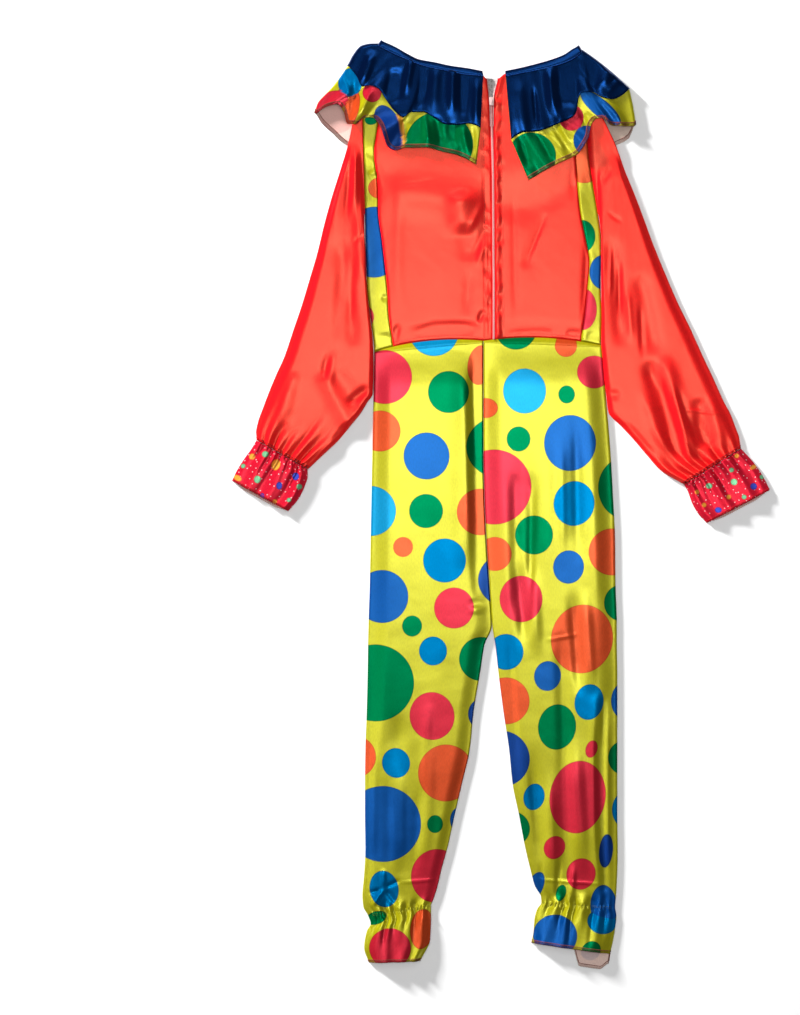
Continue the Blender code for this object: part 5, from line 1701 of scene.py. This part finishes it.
@dataclass
class Zip:
    """The closed zip, its open ends at the neck, its coil and its slider."""

    bodice: Bodice
    columns: int = 14
    rows: int = 180
    recess: float = 0.5       # how far the tape lies below the coil's top
    sag: float = 0.6          # how much further it lies down where the zip is open
    sag_from: float = 440.0
    sag_fade: float = 30.0
    coil_radius: float = 0.6
    coil_pitch: float = 1.5
    coil_sides: int = 6       # points of wire in one turn
    slider_y: float = 464.5
    open_reach: float = 30.0  # how far below the slider the turned edges still show
    tape: Sheet | None = None

    def build(self) -> None:
        """Lay the tape out."""
        seams = ("zip_left", "zip_right")
        across, _, x, y, base = self.bodice.panel(seams, BACK_TOP, self.columns, self.rows)
        z = base + CLOTH + self.bodice.body_gap(x, y) + ZIP_WALL - self.recess
        sag = self.sag * ease((y - self.sag_from) / self.sag_fade) * edge_fade(across, 0.4)
        self.tape = Sheet("zip_tape_cloth", np.dstack((x, y, z - sag)))

    def dress(self, finishes: Finishes) -> None:
        """Make the tape, the coil, the open edges and the slider."""
        piece = self.tape.build(finishes.tape, finishes.tape)
        ride(piece, "zip_tape", ["zip"])
        line = self.tape.points[self.columns // 2]
        path, _ = resample(line[line[:, 1] < self.slider_y], self.coil_pitch / self.coil_sides)
        angle = np.arange(len(path)) * (2.0 * math.pi / self.coil_sides)
        path[:, 0] += 1.3 * self.coil_radius * np.sin(angle)
        path[:, 2] += 0.55 + 0.6 * self.coil_radius * (1.0 + np.cos(angle))
        coil = sew("zip_coil", [path], 0.24, finishes.coil, "zip_tape")
        sides = [self.turned_edge(0, 0.5), self.turned_edge(-1, -0.5)]
        edges = sew("zip_open_edges", sides, 0.55, finishes.coil, "zip_tape")
        declare(self.tape, [coil, edges])
        self.slider(finishes)

    def turned_edge(self, column: int, inwards: float) -> Array:
        """Return the tape's turned edge from the neck to where the zip closes."""
        line = self.tape.points[column]
        line = line[line[:, 1] > self.slider_y - self.open_reach]
        return line + np.array((inwards, 0.0, 0.35))

    def slider(self, finishes: Finishes) -> None:
        """Make the slider: two plates that narrow together, joined by a bridge, with a loop on top."""
        low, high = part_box("slider")
        middle = (low + high) / 2.0
        size = high - low
        bm = bmesh.new()      # the shapes are made as shares of the slider's box
        for level in (0.0, 0.70):
            for vertex in bmesh.ops.create_cube(bm, size=1.0)["verts"]:
                x, y, z = vertex.co
                narrow = 1.0 - 0.35 * max(-y + 0.1, 0.0)
                vertex.co = (x * narrow, y * (1.0 - 0.1 * level), level + 0.30 * (z + 0.5))
        for vertex in bmesh.ops.create_cube(bm, size=1.0)["verts"]:
            x, y, z = vertex.co
            vertex.co = (0.3 * x, 0.28 + 0.25 * y, 0.5 + 0.5 * z)
        bmesh.ops.bevel(
            bm, geom=bm.edges[:], offset=0.06, offset_type="OFFSET", segments=3, profile=0.5,
            affect="EDGES", material=-1,
        )
        body = new_mesh("zip_slider_body", bm)
        bm = bmesh.new()      # started afresh, so that the faces come in the same order in every run
        bm.from_mesh(body)
        bpy.data.meshes.remove(body)
        self.loop(bm)
        for vertex in bm.verts:
            x, y, z = vertex.co
            vertex.co = (middle.x + x * size.x, middle.y + y * size.y, low.z + z * size.z)
        bmesh.ops.recalc_face_normals(bm, faces=bm.faces[:])
        mesh = new_mesh("zip_slider", bm)
        mesh.materials.append(finishes.enamel)
        mesh.shade_smooth()
        mesh.set_sharp_from_angle(angle=math.radians(40.0))
        ride(add_object("zip_slider", mesh), "slider_enamel", ["slider"])

    def loop(self, bm: bmesh.types.BMesh, sides: int = 16) -> None:
        """Add the slider's loop: an upright disc that is cut flat where it meets the top plate."""
        rings = []
        for x in (-0.072, 0.072):
            ring = []
            for turn in np.arange(sides) * (2.0 * math.pi / sides):
                up = max(0.22 * math.cos(turn), -0.1)
                ring.append(bm.verts.new((x, 0.242 * math.sin(turn) - 0.05, 0.98 + 0.9 * up)))
            bm.faces.new(ring)
            rings.append(ring)
        near, far = rings
        for corner in range(sides):
            bm.faces.new((near[corner - 1], near[corner], far[corner], far[corner - 1]))


@dataclass
class Collar:
    """The double ruffled collar round both shoulders, and the casing along the neck."""

    curves: dict[str, tuple]
    outwards: dict[str, Array]
    corners: tuple[float, float] = (12.0, 22.0)      # how far outside the sides each corner hangs
    corner_fade: float = 30.0
    rows: int = 26            # from the neck to the blue hem, and again to the dotted one
    back: int = 110           # columns of each back half, of each turn and of the front half
    turn: int = 6
    front: int = 70
    sheets: dict[str, Sheet] = field(default_factory=dict)

    def plan(self, part: str, share: Array, down: Array) -> Array:
        """Return a ruffle's points on the table; down is 0 at the neck, 1 and 2 at the hems."""
        binding, blue, dotted, _ = self.curves[part]
        share, down = np.broadcast_arrays(share, down)
        neck = read(binding, "foot_x", share), read(binding, "foot_y", share) + NECK_TUCK
        middle = read(blue, "x", share), read(blue, "y", share)
        hem = read(dotted, "x", share), read(dotted, "y", share)
        upper, lower = np.clip(down, 0.0, 1.0), np.clip(down - 1.0, 0.0, 1.0)
        x, y = (blend(blend(neck[i], middle[i], upper), hem[i], lower) for i in range(2))
        near = {part: share**FOLD_BOW_POWER}
        if part == "front":
            near = {"left": (1.0 - share) ** FOLD_BOW_POWER, "right": share**FOLD_BOW_POWER}
        for side, weight in near.items():
            belly = read(FOLD_BELLY, side, down, key="down") * weight
            x = x + self.outwards[side][0] * belly
            y = y + self.outwards[side][1] * belly
        return np.dstack((x, y))

    def flutes(self, side: str, share: Array, down: Array) -> Array:
        """Return how far the collar's flutes stand up."""
        rise = NECK_SHARE + (1.0 - NECK_SHARE) * (down / 2.0) ** FLUTE_POWER
        total = np.zeros(np.broadcast(share, down).shape)
        for middle, width, height in zip(*self.curves[side][3].values()):
            total += height * bell(share - middle, FLUTE_SPREAD * width)
        return total * rise * ease((1.0 - share) / 0.06)

    def ceiling(self, plan: Array) -> Array:
        """Return the height that the collar's back half lies at."""
        x, y = plan[..., 0], plan[..., 1]
        left, right = self.corners
        beyond = np.maximum(seam_x("side_left", y) - left - x, x - seam_x("side_right", y) - right)
        return lift(x, y) + BODY_STACK - CORNER_SAG * ease(beyond / self.corner_fade)

    def turned(self, plan: Array, side: str, low: Array, high: Array, out: float) -> Array:
        """Return the half round that joins the two halves at a shoulder.

        Args:
            plan: The points of the fold on the table.
            side: The shoulder's side.
            low: The height of the front half's outer face.
            high: The height of the back half's inner face.
            out: How far the outer face lies outside both.

        Returns:
            The turn's points: on the left from the back to the front, on the right the other way.
        """
        start, end = (90.0, -90.0) if side == "left" else (-90.0, 90.0)
        angle = np.radians(np.linspace(start, end, self.turn + 1)[1:-1])[:, None]
        radius = (high - low) / 2.0 + out
        across = radius * np.cos(angle)
        x = plan[..., 0] + self.outwards[side][0] * across
        y = plan[..., 1] + self.outwards[side][1] * across
        return np.dstack((x, y, (high + low) / 2.0 + radius * np.sin(angle)))

    def all_round(self, half: Layout, turn: Layout, front: Layout) -> Array:
        """Join a piece's parts from the left zip edge round the front to the right zip edge.

        Args:
            half: A function of a side and shares along it that gives a back half's points.
            turn: A function of a side that gives the points of the turn at its shoulder.
            front: A function of shares along it that gives the front half's points.

        Returns:
            The whole piece's points.
        """
        back = np.linspace(0.0, 1.0, self.back + 1)[:, None]
        before = np.linspace(0.0, 1.0, self.front + 1)[:, None]
        return np.concatenate(
            (half("left", back), turn("left"), front(before), turn("right"), half("right", back)[::-1])
        )

    def ruffle(self, outer_layer: bool, down: Array) -> Array:
        """Lay out one ruffle from the left zip edge round the front to the right zip edge."""
        out, floor, taller = CLOTH + CLOTH + SEAM, 2 * CLOTH + SEAM, 1.0 + BLUE_FLUTE_SHARE
        if not outer_layer:
            out, floor, taller = CLOTH, np.where(down > 1.0, CLOTH, floor), 1.0
        floor = floor * np.ones_like(down)

        def half(side: str, share: Array) -> Array:
            plan = self.plan(side, share, down)
            flute = self.flutes(side, share, down) * taller
            creases = crease_height(COLLAR_CREASES, plan[..., 0], plan[..., 1])
            flute = flute + COLLAR_CREASE_SHARE * creases
            return np.dstack((plan, self.ceiling(plan) + np.maximum(flute, LOWEST_FLUTE) + out))

        def turn(side: str) -> Array:
            fold = self.plan(side, np.ones((1, 1)), down)
            return self.turned(fold, side, floor, self.ceiling(fold), out)

        def front(share: Array) -> Array:
            plan = self.plan("front", share, down)
            return np.dstack((plan, np.maximum(floor - out + np.zeros(plan.shape[:2]), 0.0)))

        return self.all_round(half, turn, front)

    def casing(self) -> Array:
        """Lay out the neck casing, a flat band along the neck edge."""
        across, rise = CASING_PROFILE["across"][None], CASING_PROFILE["rise"][None]
        low, high = RUFFLE_STACK - SEAM, RUFFLE_STACK + BODY_STACK
        rounded = np.sqrt(np.maximum(across * (1.0 - across), 0.0))
        wall = BINDING_WALL * (CASING_EDGE + CASING_ROUND * rounded)

        def band(part: str, share: Array) -> tuple[Array, Array]:
            named = self.curves[part][0]
            reach = across * (1.0 + CASING_OVERLAP)
            x = blend(read(named, "edge_x", share), read(named, "foot_x", share), reach)
            y = blend(read(named, "edge_y", share), read(named, "foot_y", share), reach)
            return x, y

        def half(side: str, share: Array) -> Array:
            return np.dstack((*band(side, share), high + rise + 0.0 * share))

        def turn(side: str) -> Array:
            fold = np.dstack(band(side, np.ones((1, 1))))
            return self.turned(fold, side, low + 0.0 * across, high + rise - 0.5 * wall, 0.5 * wall)

        def front(share: Array) -> Array:
            return np.dstack((*band("front", share), low - wall + 0.0 * share))

        return self.all_round(half, turn, front)

    def build(self) -> None:
        """Lay the three pieces out."""
        down = np.linspace(0.0, 2.0, 2 * self.rows + 1)[None]
        first = self.back + 1 + (self.turn - 1) // 2
        under = slice(first, first + self.turn + self.front)      # from middle to middle of the turns
        self.sheets["ruffle_dotted"] = Sheet(
            "ruffle_dotted_cloth", self.ruffle(False, down), gathered=True, print_on=Print(RUFFLE_DOTS),
            shade_on=[(under, Print(FRONT_RUFFLE_DOTS))],
        )
        self.sheets["ruffle_blue"] = Sheet(
            "ruffle_blue_cloth", self.ruffle(True, down[:, : self.rows + 1]), gathered=True
        )
        self.sheets["neck_binding"] = Sheet("neck_binding_cloth", self.casing(), gathered=True)

    def dress(self, finishes: Finishes) -> None:
        """Make the ruffles, the casing and their stitches."""
        made = {}
        for node, outer, inner, slot in (
            ("ruffle_dotted", finishes.dotted, finishes.dotted_wrong, "dotted_satin"),
            ("ruffle_blue", finishes.navy, finishes.navy, "blue_satin"),
            ("neck_binding", finishes.navy, finishes.navy, "blue_satin"),
        ):
            made[node] = self.sheets[node].build(outer, inner)
            ride(made[node], slot, [node])
        loops = Overlock(pitch=1.5, depth=4.2).runs(self.sheets["ruffle_dotted"])
        hem = sew("ruffle_dotted_overlock", loops, 0.42, finishes.hem_thread, "dotted_satin")
        casing = self.sheets["neck_binding"]
        runs = dashes(casing.points[:, -3], casing.normals()[:, -3])
        seam = sew("neck_casing_stitches", runs, 0.2, finishes.navy_thread, "blue_satin")
        for node, extras, rests_on in (
            ("ruffle_dotted", [hem], "back_left_cloth"),
            ("ruffle_blue", [], "ruffle_dotted_cloth"),
            ("neck_binding", [seam], "ruffle_blue_cloth"),
        ):
            declare(self.sheets[node], extras)


@dataclass(frozen=True)
class Studio:
    """A pale table, one low soft light for the shadows and large soft lights above.

    Lengths are in metres. Neither the low light nor the fill shows in the satin's gloss.
    """

    camera_at: tuple[float, float] = (-0.1162, -0.0023)
    camera_height: float = 3.0
    frame_height: float = 1.16725
    level: float = 0.005             # how far up, in the cloth, the frame's height is measured
    film: float = 24.0               # height of the film in millimetres
    table: float = 4.0               # half the table's width
    sky: float = 0.12                # strength of the white surroundings

    def build(self) -> None:
        """Make the table, the lights and the camera."""
        self.floor()
        scene = bpy.context.scene
        world = bpy.data.worlds.new("studio")
        world.use_nodes = True
        background = world.node_tree.nodes["Background"].inputs
        background["Color"].default_value = (1.0, 1.0, 1.0, 1.0)
        background["Strength"].default_value = self.sky
        scene.world = world
        self.lamp("low_key", (-3.2, 2.95, 0.90), (0.46, 0.46), 750.0).visible_glossy = False
        self.lamp("fill", (0.0, 0.0, 3.6), (3.0, 3.0), 21.0).visible_glossy = False
        self.lamp("strip", (-1.05, -0.35, 2.6), (0.30, 1.5), 8.0)
        self.lamp("overhead", (0.08, 0.20, 3.2), (1.4, 0.50), 25.0)
        self.lamp("head_strip", (0.0, 1.75, 2.4), (1.6, 0.35), 9.0)
        scene.view_settings.view_transform = "Standard"
        camera = bpy.data.cameras.new("camera")
        camera.sensor_fit = "VERTICAL"
        camera.sensor_height = self.film
        camera.lens = self.film * self.camera_height / self.frame_height
        camera.clip_end = 20.0
        view = add_object("camera", camera)
        view.location = (*self.camera_at, self.camera_height + self.level)
        scene.camera = view

    def floor(self) -> None:
        """Make the table's top, of matt white paper."""
        bm = bmesh.new()
        bmesh.ops.create_grid(bm, x_segments=1, y_segments=1, size=self.table)
        mesh = new_mesh("table_top", bm)
        paper, _ = blank_material(
            "matt_white_paper", Base_Color=linear("#F4F4F4"), Roughness=0.9, Specular_IOR_Level=0.1
        )
        mesh.materials.append(paper)
        add_object("table_top", mesh)

    def lamp(
        self, name: str, place: tuple[float, float, float], size: tuple[float, float], power: float
    ) -> bpy.types.Object:
        """Hang a soft light that faces the garment.

        Args:
            name: The light's name.
            place: Where it hangs.
            size: Its width and length.
            power: Its power in watts.

        Returns:
            The light's object.
        """
        light = bpy.data.lights.new(name, "AREA")
        light.shape = "RECTANGLE"
        light.size, light.size_y = size
        light.energy = power
        lamp = add_object(name, light)
        lamp.location = place
        x, y, z = (0.0 - along for along in place)
        lamp.rotation_euler = (math.atan2(math.hypot(x, y), -z), 0.0, math.atan2(x, -y) + math.pi)
        return lamp


def main() -> None:
    """Build the studio and the garment, piece by piece."""
    logging.basicConfig(level=logging.INFO, format="%(name)s %(message)s")
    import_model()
    Studio().build()
    finishes = Finishes.make()
    curves = {
        "left": (BINDING_LEFT, BLUE_LEFT, DOTTED_LEFT, FLUTES_LEFT),
        "right": (BINDING_RIGHT, BLUE_RIGHT, DOTTED_RIGHT, FLUTES_RIGHT),
        "front": (BINDING_FRONT, BLUE_FRONT, DOTTED_FRONT, None),
    }
    outwards = {"left": np.array((-0.74, 0.67)), "right": np.array((0.66, 0.75))}
    bodice = Bodice()
    parts = (
        bodice,
        Zip(bodice),
        Sleeve(Side.LEFT, SLEEVE_LEFT, WRIST_PLEATS_LEFT),
        Sleeve(Side.RIGHT, SLEEVE_RIGHT, WRIST_PLEATS_RIGHT),
        Cuff(Side.LEFT, CUFF_LEFT, WRIST_PLEATS_LEFT),
        Cuff(Side.RIGHT, CUFF_RIGHT, WRIST_PLEATS_RIGHT),
        Leg(Side.LEFT, LEG_LEFT, ANKLE_PLEATS_LEFT, LEG_LEFT_DOTS),
        Leg(Side.RIGHT, LEG_RIGHT, ANKLE_PLEATS_RIGHT, LEG_RIGHT_DOTS),
        Collar(curves, outwards),
    )
    for part in parts:
        part.build()
        part.dress(finishes)


if __name__ == "__main__":
    main()
